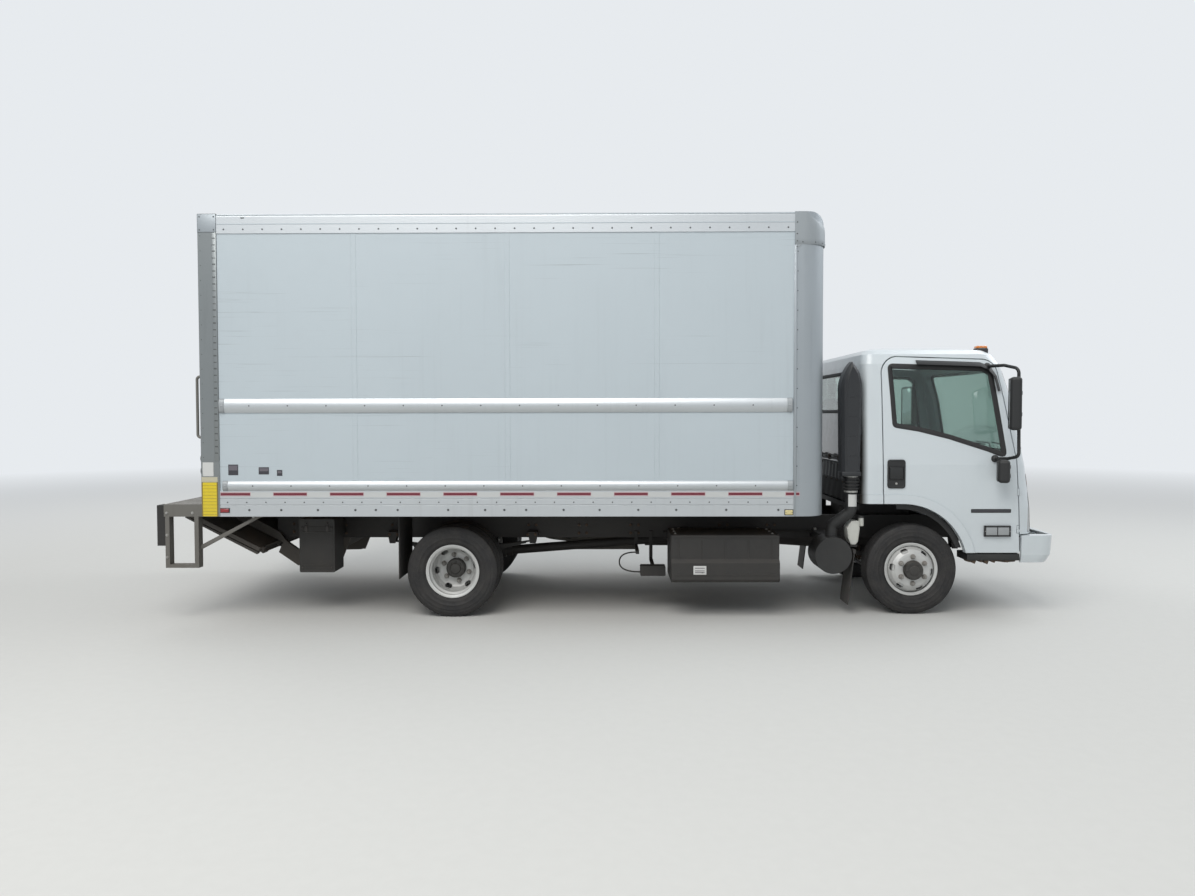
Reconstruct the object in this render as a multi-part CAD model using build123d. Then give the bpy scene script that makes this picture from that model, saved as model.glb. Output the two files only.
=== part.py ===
# Light low-cab box truck with a 16 ft dry-freight body and a tuck-under lift gate.
# Millimetres. Stations (x) run forward from the front axle, y to the left, z up from the road.
# At the end each piece is moved forward, so the frame's origin is under the middle of the truck.
from build123d import *
from math import atan2, cos, degrees, hypot, radians, sin, sqrt
import os

os.makedirs("parts", exist_ok=True)

# Overall sizes
wheelbase = 3810
front_reach = 1225            # front axle to the bumper's face
rear_reach = 6175             # front axle to the dock rubbers' rear face
joint_gap = 0.3               # between curved or moving faces that seat on each other
running_fit = 0.05            # radial, shaft in bore

# Frame and axles
rail_half = 425               # centre line to the rails' outer faces
rail_top = 775
rail_depth = 200
rail_flange = 65
rail_wall = 7
rail_front = 1000
rail_rear = -5480
axle_height = 376
front_spring_y = 390
rear_spring_y = 478
spring_width = 60
leaf = 9                      # thickness of one spring leaf

# Wheels and steering
tyre_radius = 376
tyre_width = 215
rim_radius = 203              # bead seat of a 16 in rim
flange_radius = 221
rim_half = 86
disc_offset = 127             # rim middle to the disc's mounting face
disc_wall = 9
front_track = 1665
dual_track = 1650             # between the middles of the rear pairs
dual_spacing = 2 * disc_offset
kingpin_y = 690
kingpin_radius = 20
spindle_radius = 30
drum_radius = 160
steering_arm = 160            # kingpin to the tie rod's pin
tie_rod_z = 272
tie_rod_radius = 14

# Load box
box_half = 1220
box_rear = -5800
box_front = -768
box_bottom = 852
box_top = 3275
box_wall = 30
floor_top = 985
floor_deck = 35
sill_width = 45
sill_pitch = 406
bottom_rail_top = 1060
top_rail_low = 3117
roof_sheet = 10
rail_lap = 6                  # how far the side rails stand proud of the wall
front_post = 273              # length of the rounded front section
front_radius = 190            # its upright corners
front_top_radius = 145        # its top edge
rear_post = 150
rub_proud = 24

# Cab
cab_wall = 50
cab_back = -430
arch_x, arch_z, arch_radius = -100, 391, 539
flare_width, flare_proud = 75, 12
door_gap = 8
glass = 5
floor_pan = 30
seat_deck = 1080
front_floor = 830
pivot_x, pivot_z = 1000, 700   # tilt axis of the cab
pivot_radius = 20

# Lift gate, folded under the box
gate_pivot = (-4980, 395)
gate_pin = (-6115, 857)
gate_slope = 26.6             # fall of the folded platform towards the front, degrees
platform_length = 740
ramp_length = 680
platform_half = 880
platform_thick = 34
ramp_thick = 22
gate_arm_y = 452
gate_arm_width = 40
cylinder_base = (-4390, 640)   # pin of the gate's cylinder

origin_shift = (rear_reach - front_reach) / 2


# Small builders of shapes

def block(x, y, z):
    # x, y and z are (low, high) pairs
    size = Box(x[1] - x[0], y[1] - y[0], z[1] - z[0])
    return Pos((x[0] + x[1]) / 2, (y[0] + y[1]) / 2, (z[0] + z[1]) / 2) * size


def bar_x(y, z, x0, x1, radius):
    return Pos((x0 + x1) / 2, y, z) * Rot(0, 90, 0) * Cylinder(radius, x1 - x0)


def bar_y(x, z, y0, y1, radius):
    return Pos(x, (y0 + y1) / 2, z) * Rot(90, 0, 0) * Cylinder(radius, y1 - y0)


def bar_z(x, y, z0, z1, radius):
    return Pos(x, y, (z0 + z1) / 2) * Cylinder(radius, z1 - z0)


def outline(*points):
    return make_face(Polyline(*points, close=True))


def rounded(face, radius):
    return fillet(face.vertices(), radius)


def across(face, y0, y1):
    # a face drawn in x and z, filled from y0 to y1
    return extrude(Plane.XZ.offset(-y1) * face, amount=y1 - y0)


def along(face, x0, x1):
    # a face drawn in y and z, filled from x0 to x1
    return extrude(Plane.YZ.offset(x0) * face, amount=x1 - x0)


def upright(face, z0, z1):
    # a face drawn in x and y, filled from z0 to z1
    return extrude(Plane.XY.offset(z0) * face, amount=z1 - z0)


def turned(*points):
    # points are (radius, y); the axis is the y axis
    return revolve(outline(*points), axis=Axis.Y)


def pipe(points, radius, bends):
    path = FilletPolyline(*points, radius=bends)
    return sweep(Plane(origin=path @ 0, z_dir=path % 0) * Circle(radius), path=path)


def mirrored(piece):
    return mirror(piece, about=Plane.XZ)


def both(piece):
    return [piece, mirrored(piece)]


def fuse(pieces):
    whole = pieces[0]
    for piece in pieces[1:]:
        whole = whole + piece
    return whole


def save(node, *pieces):
    solids = [solid for piece in pieces for solid in piece.solids()]
    export_step(Pos(origin_shift, 0, 0) * Compound(solids), f"parts/{node}.step")


# Frame: two channel rails with their hangers and brackets; the crossmembers seat between the rails

rail_bottom = rail_top - rail_depth
rail_inner = rail_half - rail_flange
web_inner = rail_half - rail_wall
rear_axle_x = -wheelbase
front_eye = 550               # axle to spring eye
rear_eye = 620
front_eye_z = 500
rear_eye_z = 560
eye_radius = 22
eye_pin = 12
hanger_wall = 12


def rail():
    section = outline(
        (rail_half, rail_bottom), (rail_half, rail_top), (rail_inner, rail_top),
        (rail_inner, rail_top - rail_wall), (web_inner, rail_top - rail_wall),
        (web_inner, rail_bottom + rail_wall), (rail_inner, rail_bottom + rail_wall),
        (rail_inner, rail_bottom))
    return along(section, rail_rear, rail_front)


def hanger(x, z, spring_y):
    # two plates either side of the spring's eye, and the pin through it
    pieces = []
    half = spring_width / 2 + joint_gap
    for inner in (spring_y - half - hanger_wall, spring_y + half):
        plate = outline((x - 45, rail_bottom + 60), (x + 45, rail_bottom + 60),
                        (x + 25, z - 25), (x - 25, z - 25))
        pieces.append(across(plate, inner, inner + hanger_wall))
    low, high = spring_y - half - hanger_wall, spring_y + half + hanger_wall
    pieces.append(bar_y(x, z, low, high, eye_pin))
    top_low, top_high = max(rail_bottom, z + eye_radius + 8), rail_bottom + 60
    pieces.append(block((x - 45, x + 45), (min(low, web_inner), high), (top_low, top_high)))
    return fuse(pieces)


rail_side = rail()
for x, z, spring_y in [(front_eye, front_eye_z, front_spring_y), (-front_eye, front_eye_z, front_spring_y),
                       (rear_axle_x + rear_eye, rear_eye_z, rear_spring_y),
                       (rear_axle_x - rear_eye, rear_eye_z, rear_spring_y)]:
    rail_side = rail_side + hanger(x, z, spring_y)

pivot_bracket_y = (400, 425)
bracket = outline((rail_front - 120, rail_bottom), (rail_front - 20, rail_bottom),
                  (pivot_x + 24, pivot_z - 18),
                  (pivot_x + 24, pivot_z + 20), (pivot_x - 20, pivot_z + 28),
                  (rail_front - 120, rail_top - 40))
rail_side = rail_side + across(bracket, *pivot_bracket_y)

# x, half width in x, low z, high z
crossmembers = [
    (-5430, 30, 600, 750), (-4320, 30, 590, 750), (-3300, 30, 640, 760),
    (-2300, 30, 640, 760), (-1250, 30, 700, 765), (450, 30, rail_bottom + rail_wall, 640)]
members = [block((x - half, x + half), (-web_inner, web_inner), (low, high))
           for x, half, low, high in crossmembers]
pivot_tube = bar_y(pivot_x, pivot_z, -pivot_bracket_y[0], pivot_bracket_y[0], pivot_radius)

support_x = (-470, -400)      # the arch that carries the cab's rear mounts
support_top = 905
support = block(support_x, (-800, 800), (support_top - 45, support_top))
for side in both(block(support_x, (rail_inner, rail_half), (rail_top, support_top))):
    support = support + side


# Axles and springs

beam_half = 32
spring_seat = 10


def leaf_pack(x, base_z, eye_z, span, count, spring_y, lowest):
    # leaves shorten downwards; the top one carries both eyes; arcs share one middle
    rise = eye_z - (base_z + count * leaf)
    radius = (span * span + rise * rise) / (2 * rise)
    top_z = base_z + count * leaf
    pack = []
    for number in range(count):
        half_length = span * (1 - number / (count + lowest))
        outer = radius + number * leaf
        ring = Circle(outer + leaf) - Circle(outer)
        cut = Pos(0, -outer) * Rectangle(2 * half_length, outer)
        pack.append(Pos(x, top_z + radius) * (ring & cut))
    solid = across(fuse(pack), spring_y - spring_width / 2, spring_y + spring_width / 2)
    for end in (x - span, x + span):
        solid = solid + bar_y(end, eye_z, spring_y - spring_width / 2, spring_y + spring_width / 2,
                              eye_radius)
    for end in (x - span, x + span):
        bore = bar_y(end, eye_z, spring_y - spring_width, spring_y + spring_width, eye_pin + running_fit)
        solid = solid - bore
    return solid


front_pad_z = axle_height + spring_seat
front_beam = along(outline(
    (-655, 421), (-600, 421), (-480, axle_height), (480, axle_height), (600, 421), (655, 421),
    (655, 331), (610, 331), (490, 286), (-490, 286), (-610, 331), (-655, 331)), -beam_half, beam_half)
for side in (-1, 1):
    groove = block((min(side * 14, side * 40), max(side * 14, side * 40)), (-560, 560), (304, 358))
    front_beam = front_beam - groove
boss_z = (331, 421)
for side in both(bar_z(0, kingpin_y, *boss_z, 38)):
    front_beam = front_beam + side
for side in both(bar_z(0, kingpin_y, 300, 450, kingpin_radius + running_fit)):
    front_beam = front_beam - side
pad = block((-65, 65), (front_spring_y - 40, front_spring_y + 40), (axle_height - 6, front_pad_z))
for side in both(pad):
    front_beam = front_beam + side
save("front_axle", front_beam)

tube_radius = 55
hub_in_y = dual_track / 2 - 190
rear_axle = bar_y(rear_axle_x, axle_height, -hub_in_y, hub_in_y, tube_radius)
rear_axle = rear_axle + bar_y(rear_axle_x, axle_height, -105, 105, 165)
rear_axle = rear_axle + bar_x(0, axle_height + 20, rear_axle_x + 100, rear_axle_x + 330, 62)
rear_pad_z = 440
rear_pad = block((rear_axle_x - 70, rear_axle_x + 70), (rear_spring_y - 40, rear_spring_y + 40),
                 (axle_height, rear_pad_z))
spindle_end = dual_track / 2 + 60
plate_y = dual_track / 2 - disc_offset - 4      # backing plate's inner face
rear_end = bar_y(rear_axle_x, axle_height, hub_in_y - 5, spindle_end, spindle_radius + 12)
rear_end = rear_end + bar_y(rear_axle_x, axle_height, plate_y, plate_y + 6, drum_radius + 8)
for side in both(rear_pad + rear_end):
    rear_axle = rear_axle + side
save("rear_axle", rear_axle)

front_leaves, rear_leaves = 5, 8
front_spring = leaf_pack(0, front_pad_z, front_eye_z, front_eye, front_leaves, front_spring_y, 2)
rear_spring = leaf_pack(rear_axle_x, rear_pad_z, rear_eye_z, rear_eye, rear_leaves, rear_spring_y, 2)
save("leaf_springs", *both(front_spring), *both(rear_spring))


# Steering: knuckles turn on kingpins through the beam's ends, and the tie rod joins their arms

lug_radius = 38
lug_height = 36
lug_gap = 1
tie_pin_radius = 9
hub_face = front_track / 2 + disc_offset        # where the front wheel's disc seats
front_plate_y = front_track / 2 - 10


def knuckle():
    x0, z0 = 0, axle_height
    body = bar_z(x0, kingpin_y, boss_z[0] - lug_height, boss_z[1] + lug_height, kingpin_radius)
    for low, high in ((boss_z[0] - lug_height, boss_z[0] - lug_gap),
                      (boss_z[1] + lug_gap, boss_z[1] + lug_height)):
        body = body + bar_z(x0, kingpin_y, low, high, lug_radius)
    yoke = block((-34, 34), (kingpin_y + 42, front_plate_y), (boss_z[0] - lug_height, boss_z[1] + lug_height))
    for low, high in ((boss_z[0] - lug_height, boss_z[0] - lug_gap),
                      (boss_z[1] + lug_gap, boss_z[1] + lug_height)):
        yoke = yoke + block((-34, 34), (kingpin_y, kingpin_y + 60), (low, high))
    body = body + yoke
    body = body + bar_y(x0, z0, front_plate_y - 20, hub_face - 30, spindle_radius)
    body = body + bar_y(x0, z0, front_plate_y, front_plate_y + 6, drum_radius + 8)
    arm_z = (boss_z[0] - lug_height, boss_z[0] - lug_height + 18)
    arm = outline((-20, kingpin_y - 24), (-20, kingpin_y + 24), (-steering_arm, kingpin_y + 24),
                  (-steering_arm, kingpin_y - 24))
    body = body + upright(arm, *arm_z) + bar_z(-steering_arm, kingpin_y, *arm_z, 24)
    return body + bar_z(-steering_arm, kingpin_y, tie_rod_z - 24, arm_z[1], tie_pin_radius)


save("knuckle_left", knuckle())
save("knuckle_right", mirrored(knuckle()))

tie_rod = bar_y(-steering_arm, tie_rod_z, -kingpin_y, kingpin_y, tie_rod_radius)
for side in both(bar_z(-steering_arm, kingpin_y, tie_rod_z - 17, tie_rod_z + 17, 26)):
    tie_rod = tie_rod + side
for side in both(bar_z(-steering_arm, kingpin_y, tie_rod_z - 40, tie_rod_z + 40,
                       tie_pin_radius + running_fit)):
    tie_rod = tie_rod - side
save("tie_rod", tie_rod)


# Wheels: y is measured outward from the rim's middle, and the disc faces outward

hand_holes = 6
hand_hole_circle = 163
first_hand_hole = 7
hand_hole = (58, 34)          # across and in-out, oval


def tyre():
    half = tyre_width / 2
    tread = 88
    shape = outline(
        (rim_radius + 1.5, -60), (rim_radius + 1.5, -73), (flange_radius + 0.5, -78.3),
        (flange_radius + 3, -rim_half + 2), (rim_radius + 50, -half + 5),
        (rim_radius + 95, -half), (tyre_radius - 32, -half + 7), (tyre_radius - 6, -tread),
        (tyre_radius, -tread + 14), (tyre_radius, tread - 14), (tyre_radius - 6, tread),
        (tyre_radius - 32, half - 7), (rim_radius + 95, half), (rim_radius + 50, half - 5),
        (flange_radius + 3, rim_half - 2), (flange_radius + 0.5, 78.3),
        (rim_radius + 1.5, 73), (rim_radius + 1.5, 60), (tyre_radius - 40, 78), (tyre_radius - 16, 60),
        (tyre_radius - 16, -60), (tyre_radius - 40, -78))
    return revolve(shape, axis=Axis.Y)


def rim():
    barrel = turned(
        (flange_radius, -rim_half), (flange_radius, -rim_half + 7), (rim_radius + 1, -74), (rim_radius, -44),
        (rim_radius - 15, -28), (rim_radius - 15, 28), (rim_radius, 44), (rim_radius + 1, 74),
        (flange_radius, rim_half - 7), (flange_radius, rim_half), (flange_radius - 8, rim_half),
        (rim_radius - 7, 79), (rim_radius - 7, 46), (rim_radius - 22, 31), (rim_radius - 22, -31),
        (rim_radius - 7, -46), (rim_radius - 7, -79), (flange_radius - 8, -rim_half))
    face = disc_offset
    disc = turned(
        (rim_radius - 8, 48), (rim_radius - 12, 66), (rim_radius - 34, 106), (rim_radius - 62, face - 3),
        (rim_radius - 78, face), (78, face), (78, face - disc_wall), (rim_radius - 82, face - disc_wall),
        (rim_radius - 66, face - 13), (rim_radius - 42, 98), (rim_radius - 22, 62), (rim_radius - 22, 36),
        (rim_radius - 12, 40))
    wheel = barrel + disc
    for number in range(hand_holes):
        hole = across(Pos(hand_hole_circle, 0) * Rot(0, 0, 90) * SlotOverall(*hand_hole), 30, 150)
        wheel = wheel - Rot(0, first_hand_hole + number * 360 / hand_holes, 0) * hole
    return wheel


def hub(cap_length, inner):
    # inner is how far the hub reaches inboard of the disc's inner face
    seat = disc_offset - disc_wall
    body = turned((0, disc_offset + cap_length), (60, disc_offset + cap_length),
                  (76, disc_offset + cap_length - 14),
                  (77, seat), (135, seat), (135, seat - 14), (70, seat - 20), (62, seat - inner),
                  (0, seat - inner))
    drum = turned((60, seat - 8), (drum_radius, seat - 14), (drum_radius, 4), (drum_radius - 10, 4),
                  (drum_radius - 12, seat - 28), (60, seat - 22))
    return body + drum


def place_wheel(piece, x, y):
    return Pos(x, y, axle_height) * piece


front_y = front_track / 2
front_hub = hub(42, 90) - bar_y(0, 0, -100, hub_face - 30 - front_y + 1, spindle_radius + running_fit)
front_wheel = rim() + front_hub
outer_y = dual_track / 2 + dual_spacing / 2
inner_y = dual_track / 2 - dual_spacing / 2
turned_rim = Rot(180, 0, 0) * rim()
rear_hub = hub(70, 90) - bar_y(0, 0, -100, spindle_end - inner_y + 1, spindle_radius + 12 + running_fit)
rear_wheel = (place_wheel(rim() + rear_hub, rear_axle_x, inner_y)
              + place_wheel(turned_rim, rear_axle_x, outer_y))
for side, flip in (("left", lambda piece: piece), ("right", mirrored)):
    save(f"front_tyre_{side}", flip(place_wheel(tyre(), 0, front_y)))
    save(f"front_rim_{side}", flip(place_wheel(front_wheel, 0, front_y)))
    save(f"rear_tyres_{side}", flip(place_wheel(tyre(), rear_axle_x, outer_y)),
         flip(place_wheel(tyre(), rear_axle_x, inner_y)))
    save(f"rear_rims_{side}", flip(rear_wheel))


# Engine with its radiator, gearbox and drive shaft, exhaust, tank and boxes on the rails

engine_x = (-372, 190)
engine_half = 290
engine_z = (515, 1000)
gearbox_end = -1180
gearbox_z = 565
engine = block(engine_x, (-engine_half, engine_half), engine_z)
engine = chamfer(engine.edges().filter_by(Axis.X), 60)
gearbox = Plane.YZ.offset(engine_x[0]) * (Pos(0, gearbox_z) * Circle(150))
gearbox_tail = Plane.YZ.offset(gearbox_end) * (Pos(0, gearbox_z) * Circle(95))
engine = engine + loft([gearbox.faces()[0], gearbox_tail.faces()[0]], ruled=True)
engine = engine + bar_x(0, gearbox_z, gearbox_end - 60, gearbox_end, 55)
engine = engine + block((-1280, -1215), (-60, 60), (gearbox_z + 40, 700))
engine = engine + block((-1280, gearbox_end), (-50, 50), (gearbox_z - 30, gearbox_z + 42))
for side in both(block((-150, -50), (engine_half - 20, web_inner), (rail_bottom + 20, rail_top - 60))):
    engine = engine + side
radiator = block((345, 400), (-300, 300), (430, 770))
for side in both(block((350, 390), (290, web_inner), (600, 700))):
    radiator = radiator + side
save("engine", engine, radiator)

shaft_start = (-1280 - joint_gap, gearbox_z)
shaft_end = (rear_axle_x + 330 + joint_gap, axle_height + 20)
shaft_length = hypot(shaft_start[0] - shaft_end[0], shaft_start[1] - shaft_end[1])
shaft_tilt = degrees(atan2(shaft_start[1] - shaft_end[1], shaft_start[0] - shaft_end[0]))
shaft_middle = Pos((shaft_start[0] + shaft_end[0]) / 2, 0, (shaft_start[1] + shaft_end[1]) / 2)
shaft = shaft_middle * Rot(0, 90 - shaft_tilt, 0) * Cylinder(42, shaft_length - 16)
for x, z in ((shaft_start[0], shaft_start[1]), (shaft_end[0], shaft_end[1])):
    toward = 1 if x == shaft_end[0] else -1
    shaft = shaft + bar_x(0, z, min(x, x + toward * 60), max(x, x + toward * 60), 50)
save("drive_shaft", shaft)

muffler_y, muffler_z = 560, 430
exhaust = bar_x(muffler_y, muffler_z, -2900, -2250, 110)
exhaust = exhaust + pipe([(-2250, muffler_y, muffler_z), (-1900, muffler_y, muffler_z), (-1500, 330, 470),
                          (-700, 330, 470)], 32, 120)
exhaust = exhaust + pipe([(-2900, muffler_y, muffler_z), (-3150, muffler_y, muffler_z + 30),
                          (-3150, 1000, muffler_z + 30)], 32, 100)
exhaust = exhaust + block((-2640, -2560), (rail_half, muffler_y), (muffler_z + 80, rail_bottom + 40))
save("exhaust", exhaust)

tank_x, tank_y, tank_z = (-2150, -1150), (700, 1120), (330, 700)
fuel_tank = fillet(block(tank_x, tank_y, tank_z).edges().filter_by(Axis.X), 60)
for x in (tank_x[0] + 160, tank_x[1] - 220):
    fuel_tank = fuel_tank + block((x, x + 50), (rail_half, tank_y[0] + 40), (rail_bottom + 60, rail_top - 75))
save("fuel_tank", fuel_tank)

side_box_x, side_box_z, side_box_y = (-2010, -1130), (300, 683), (-1130, -620)
bulge_z = 470
side_box = along(outline((side_box_y[0] + 30, side_box_z[1]), (side_box_y[0] + 30, bulge_z + 20),
                         (side_box_y[0], bulge_z - 10), (side_box_y[0], side_box_z[0] + 25),
                         (side_box_y[0] + 25, side_box_z[0]), (side_box_y[1], side_box_z[0]),
                         (side_box_y[1], side_box_z[1])), *side_box_x)
for x in (side_box_x[0] + 150, side_box_x[1] - 200):
    side_box = side_box + block((x, x + 50), (side_box_y[1] - 10, -rail_half),
                                (rail_bottom + 20, side_box_z[1] - 20))
save("side_box", side_box)


# Intake and coolant bottle behind the cab, on the kerb side

cleaner_x, cleaner_z, cleaner_radius = -662, 500, 152
cleaner_y = (-990, -715)
intake_x, intake_y = -510, -940
intake_top = 1160             # where the cab's snorkel sits down on the bellows
air_cleaner = bar_y(cleaner_x, cleaner_z, *cleaner_y, cleaner_radius)
air_cleaner = air_cleaner + pipe([(cleaner_x, intake_y + 60, cleaner_z + 90),
                                  (cleaner_x + 10, intake_y + 60, 740),
                                  (intake_x, intake_y, 860), (intake_x, intake_y, 1050)], 48, 60)
air_cleaner = air_cleaner + bar_z(intake_x, intake_y, 1040, intake_top, 52)
for step in range(4):
    low = 1046 + step * 28
    air_cleaner = air_cleaner + bar_z(intake_x, intake_y, low, low + 15, 64)
air_cleaner = air_cleaner + block((-730, -612), (cleaner_y[1] - 20, -rail_half),
                                  (rail_bottom + 15, rail_bottom + 75))
save("air_cleaner", air_cleaner)

bottle_y, bottle_low = (-950, -830), 588
bottle_side = outline((-541, 725), (-503, 782), (-445, 782), (-438, 720), (-452, 612), (-470, bottle_low),
                      (-508, bottle_low), (-532, 640))
bottle = across(rounded(bottle_side, 9), *bottle_y)
neck_x, neck_y = -412, -890
bottle = bottle + block((-452, neck_x), (neck_y - 16, neck_y + 16), (735, 775))
bottle = bottle + bar_z(neck_x, neck_y, 735, 812, 23)
save("coolant_bottle", bottle)
shelf_wall = 22
shelf_tab = (-475, -455)
bottle_shelf = block((-512, shelf_tab[1]), (-940, -rail_half - 16), (bottle_low - shelf_wall, bottle_low))
bottle_shelf = bottle_shelf + block(shelf_tab, (-rail_half - 20, -rail_half),
                                    (bottle_low - shelf_wall, rail_bottom + 60))
bumper_arm = block((rail_front - 60, rail_front + 150), (rail_inner + 10, rail_half),
                   (rail_bottom, rail_bottom + 30))
rail_side = rail_side + bumper_arm
save("frame", rail_side, mirrored(rail_side) + bottle_shelf)

base_lug_y = (18 + joint_gap, 32)
base_pin = 15
gate_member = members[1] + bar_y(*cylinder_base, -base_lug_y[1], base_lug_y[1], base_pin)
for side in both(block((cylinder_base[0] - 25, -4345), base_lug_y,
                       (cylinder_base[1] - 28, cylinder_base[1] + 28))):
    gate_member = gate_member + side
save("crossmembers", members[0], gate_member, *members[2:], pivot_tube, support)


# Hose loop between a fitting on the rail and the valve block

hose_y, hose_radius = -800, 6
fitting_x, valve_x, valve_z = (-2290, -2262), (-2253, -2040), (305, 390)
loop_x, loop_z = -2430, (332, 500)
valve_block = fillet(block(valve_x, (hose_y - 50, hose_y + 50), valve_z).edges().filter_by(Axis.Y), 10)
valve_block = valve_block + block((-2160, -2130), (hose_y, -rail_half), (valve_z[1] - 14, valve_z[1]))
valve_block = valve_block + block((-2160, -2130), (-rail_half - 14, -rail_half),
                                  (valve_z[1] - 14, rail_bottom + 60))
fitting = block(fitting_x, (hose_y - 14, -rail_half), (loop_z[1] - 14, loop_z[1] + 14))
fitting = fitting + block(fitting_x, (-rail_half - 14, -rail_half), (loop_z[1], rail_bottom + 60))
save("valve_block", valve_block, fitting)
save("air_hose", pipe([(fitting_x[0], hose_y, loop_z[1]), (loop_x, hose_y, loop_z[1]),
                       (loop_x, hose_y, loop_z[0]),
                       (valve_x[0], hose_y, loop_z[0])], hose_radius, [63, 75.6]))


# Mudflaps hang from a steel bar (front) and from the box floor (rear)

flap_wall = 8
front_flap_x = -545
front_flap = across(outline((front_flap_x, 90), (front_flap_x + flap_wall, 90), (front_flap_x + 60, 520),
                            (front_flap_x + 60 - flap_wall, 520)), 740, 985)
flap_bar = block((front_flap_x + 46, front_flap_x + 68), (rail_half, 985), (518, 548))
flap_bar = flap_bar + block((front_flap_x + 46, front_flap_x + 68), (rail_half, rail_half + 14),
                            (518, rail_bottom + 60))
rear_flap_x = rear_axle_x - 435
rear_flap = block((rear_flap_x, rear_flap_x + flap_wall), (590, 1080), (320, box_bottom))
save("mudflaps", *both(front_flap + flap_bar), *both(rear_flap))


# Plan of a rounded nose: straight sides, corner arcs and a shallow front arc, all tangent

def nose_plan(front, half, corner, turn, back, back_corner):
    # turn is how far the corner arc bends, in degrees
    a = radians(turn)
    corner_y = half - corner * (1 - cos(a))
    front_radius_here = corner_y / cos(a)
    corner_x = front - front_radius_here * (1 - sin(a))
    side_x = corner_x - corner * sin(a)
    middle = (side_x + corner * sin(a / 2), half - corner * (1 - cos(a / 2)))
    diagonal = back_corner * (1 - sqrt(0.5))
    edges = [
        Line((back + back_corner, half), (side_x, half)),
        ThreePointArc((side_x, half), middle, (corner_x, corner_y)),
        ThreePointArc((corner_x, corner_y), (front, 0), (corner_x, -corner_y)),
        ThreePointArc((corner_x, -corner_y), (middle[0], -middle[1]), (side_x, -half)),
        Line((side_x, -half), (back + back_corner, -half)),
        ThreePointArc((back + back_corner, -half), (back + diagonal, -half + diagonal),
                      (back, -half + back_corner)),
        Line((back, -half + back_corner), (back, half - back_corner)),
        ThreePointArc((back, half - back_corner), (back + diagonal, half - diagonal),
                      (back + back_corner, half))]
    return make_face(edges)


# Bumper: a deep C of sheet, with ends that run back to the doors

bumper_half = 995
bumper_wall = 26
bumper_corner = 120
bumper_turn = 83
bumper_back = 880
bumper_lip = 1150             # back edge of its top, clear of the cab's nose as it tips
# height, how far the front and the sides stand back there
bumper_sections = [(442, 45, 20), (505, 10, 4), (668, 0, 0)]
bumper_z = (bumper_sections[0][0], bumper_sections[-1][0])


def bumper_form(inset, drop):
    # drop lowers the first section and the last, to open the bottom and keep the top's sheet
    faces = []
    for height, front, side in bumper_sections:
        low = -10 if height == bumper_z[0] and inset else 0
        high = -drop if height == bumper_z[1] else 0
        plan = nose_plan(front_reach - front - inset, bumper_half - side - inset, bumper_corner - inset,
                         bumper_turn, bumper_back - 60 - inset, 5)
        faces.append(Pos(0, 0, height + low + high) * plan)
    return loft(faces, ruled=True)


bumper = bumper_form(0, 0) - bumper_form(bumper_wall, 8)
bumper = bumper - block((0, bumper_back), (-1100, 1100), (300, 800))
lip_half = bumper_half - 90
bumper = bumper - block((0, bumper_lip), (-lip_half, lip_half), (bumper_z[1] - 60, 800))
arm_end = rail_front + 150
beam = block((arm_end, arm_end + 40), (-640, 640), (rail_bottom - 20, rail_bottom + 70))
for y in (-600, -200, 200, 600):
    beam = beam + block((arm_end + 20, front_reach - 10), (y - 25, y + 25),
                        (rail_bottom + 10, rail_bottom + 70))
bumper = bumper + (beam & bumper_form(5, 0))
save("bumper", bumper)


# Cab shell: ruled sections at rising heights; the same sections, inset, give its inside, doors and glass
# Columns: height, front at the centre line, back, half width, front corner radius

cab_sections = [
    (455, 1130, cab_back, 985, 180),
    (900, 1108, cab_back, 1000, 180),
    (1250, 1062, cab_back, 998, 180),
    (1800, 950, cab_back, 958, 170),
    (2085, 862, cab_back + 12, 925, 160),
    (2165, 806, cab_back + 25, 890, 150),
    (2202, 735, cab_back + 60, 840, 140),
    (2232, 470, cab_back + 200, 620, 120)]
cab_turn = 75
back_corner = 90


def cab_form(inset, low=None):
    faces = []
    for height, front, back, half, corner in cab_sections:
        level = height - inset if height > 1900 else height
        level = low if low is not None and height == cab_sections[0][0] else level
        plan = nose_plan(front - inset, half - inset, corner - inset * 0.8, cab_turn, back + inset,
                         max(back_corner - inset, 15))
        faces.append(Pos(0, 0, level) * plan)
    return loft(faces, ruled=True)


cab_outside = cab_form(0)
cab_inside = cab_form(cab_wall, 440)
cab_skin = cab_outside - cab_inside

panel_half, panel_z = 640, (678, 1290)
panel_wall = 25
arch_cut = across(Pos(arch_x, arch_z) * Circle(arch_radius), -1100, 1100)
rear_low = 930                # cab's lower edge behind the wheel
arch_cut = arch_cut + block((cab_back - 20, arch_x), (-1100, 1100), (arch_z, rear_low))
low_front_x = 872             # front edge of the door at its foot
door_foot = 524
under_door = block((arch_x, low_front_x), (-1100, 1100), (400, door_foot))
under_nose = block((low_front_x - 12, 1300), (-1100, 1100), (400, panel_z[0]))

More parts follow.
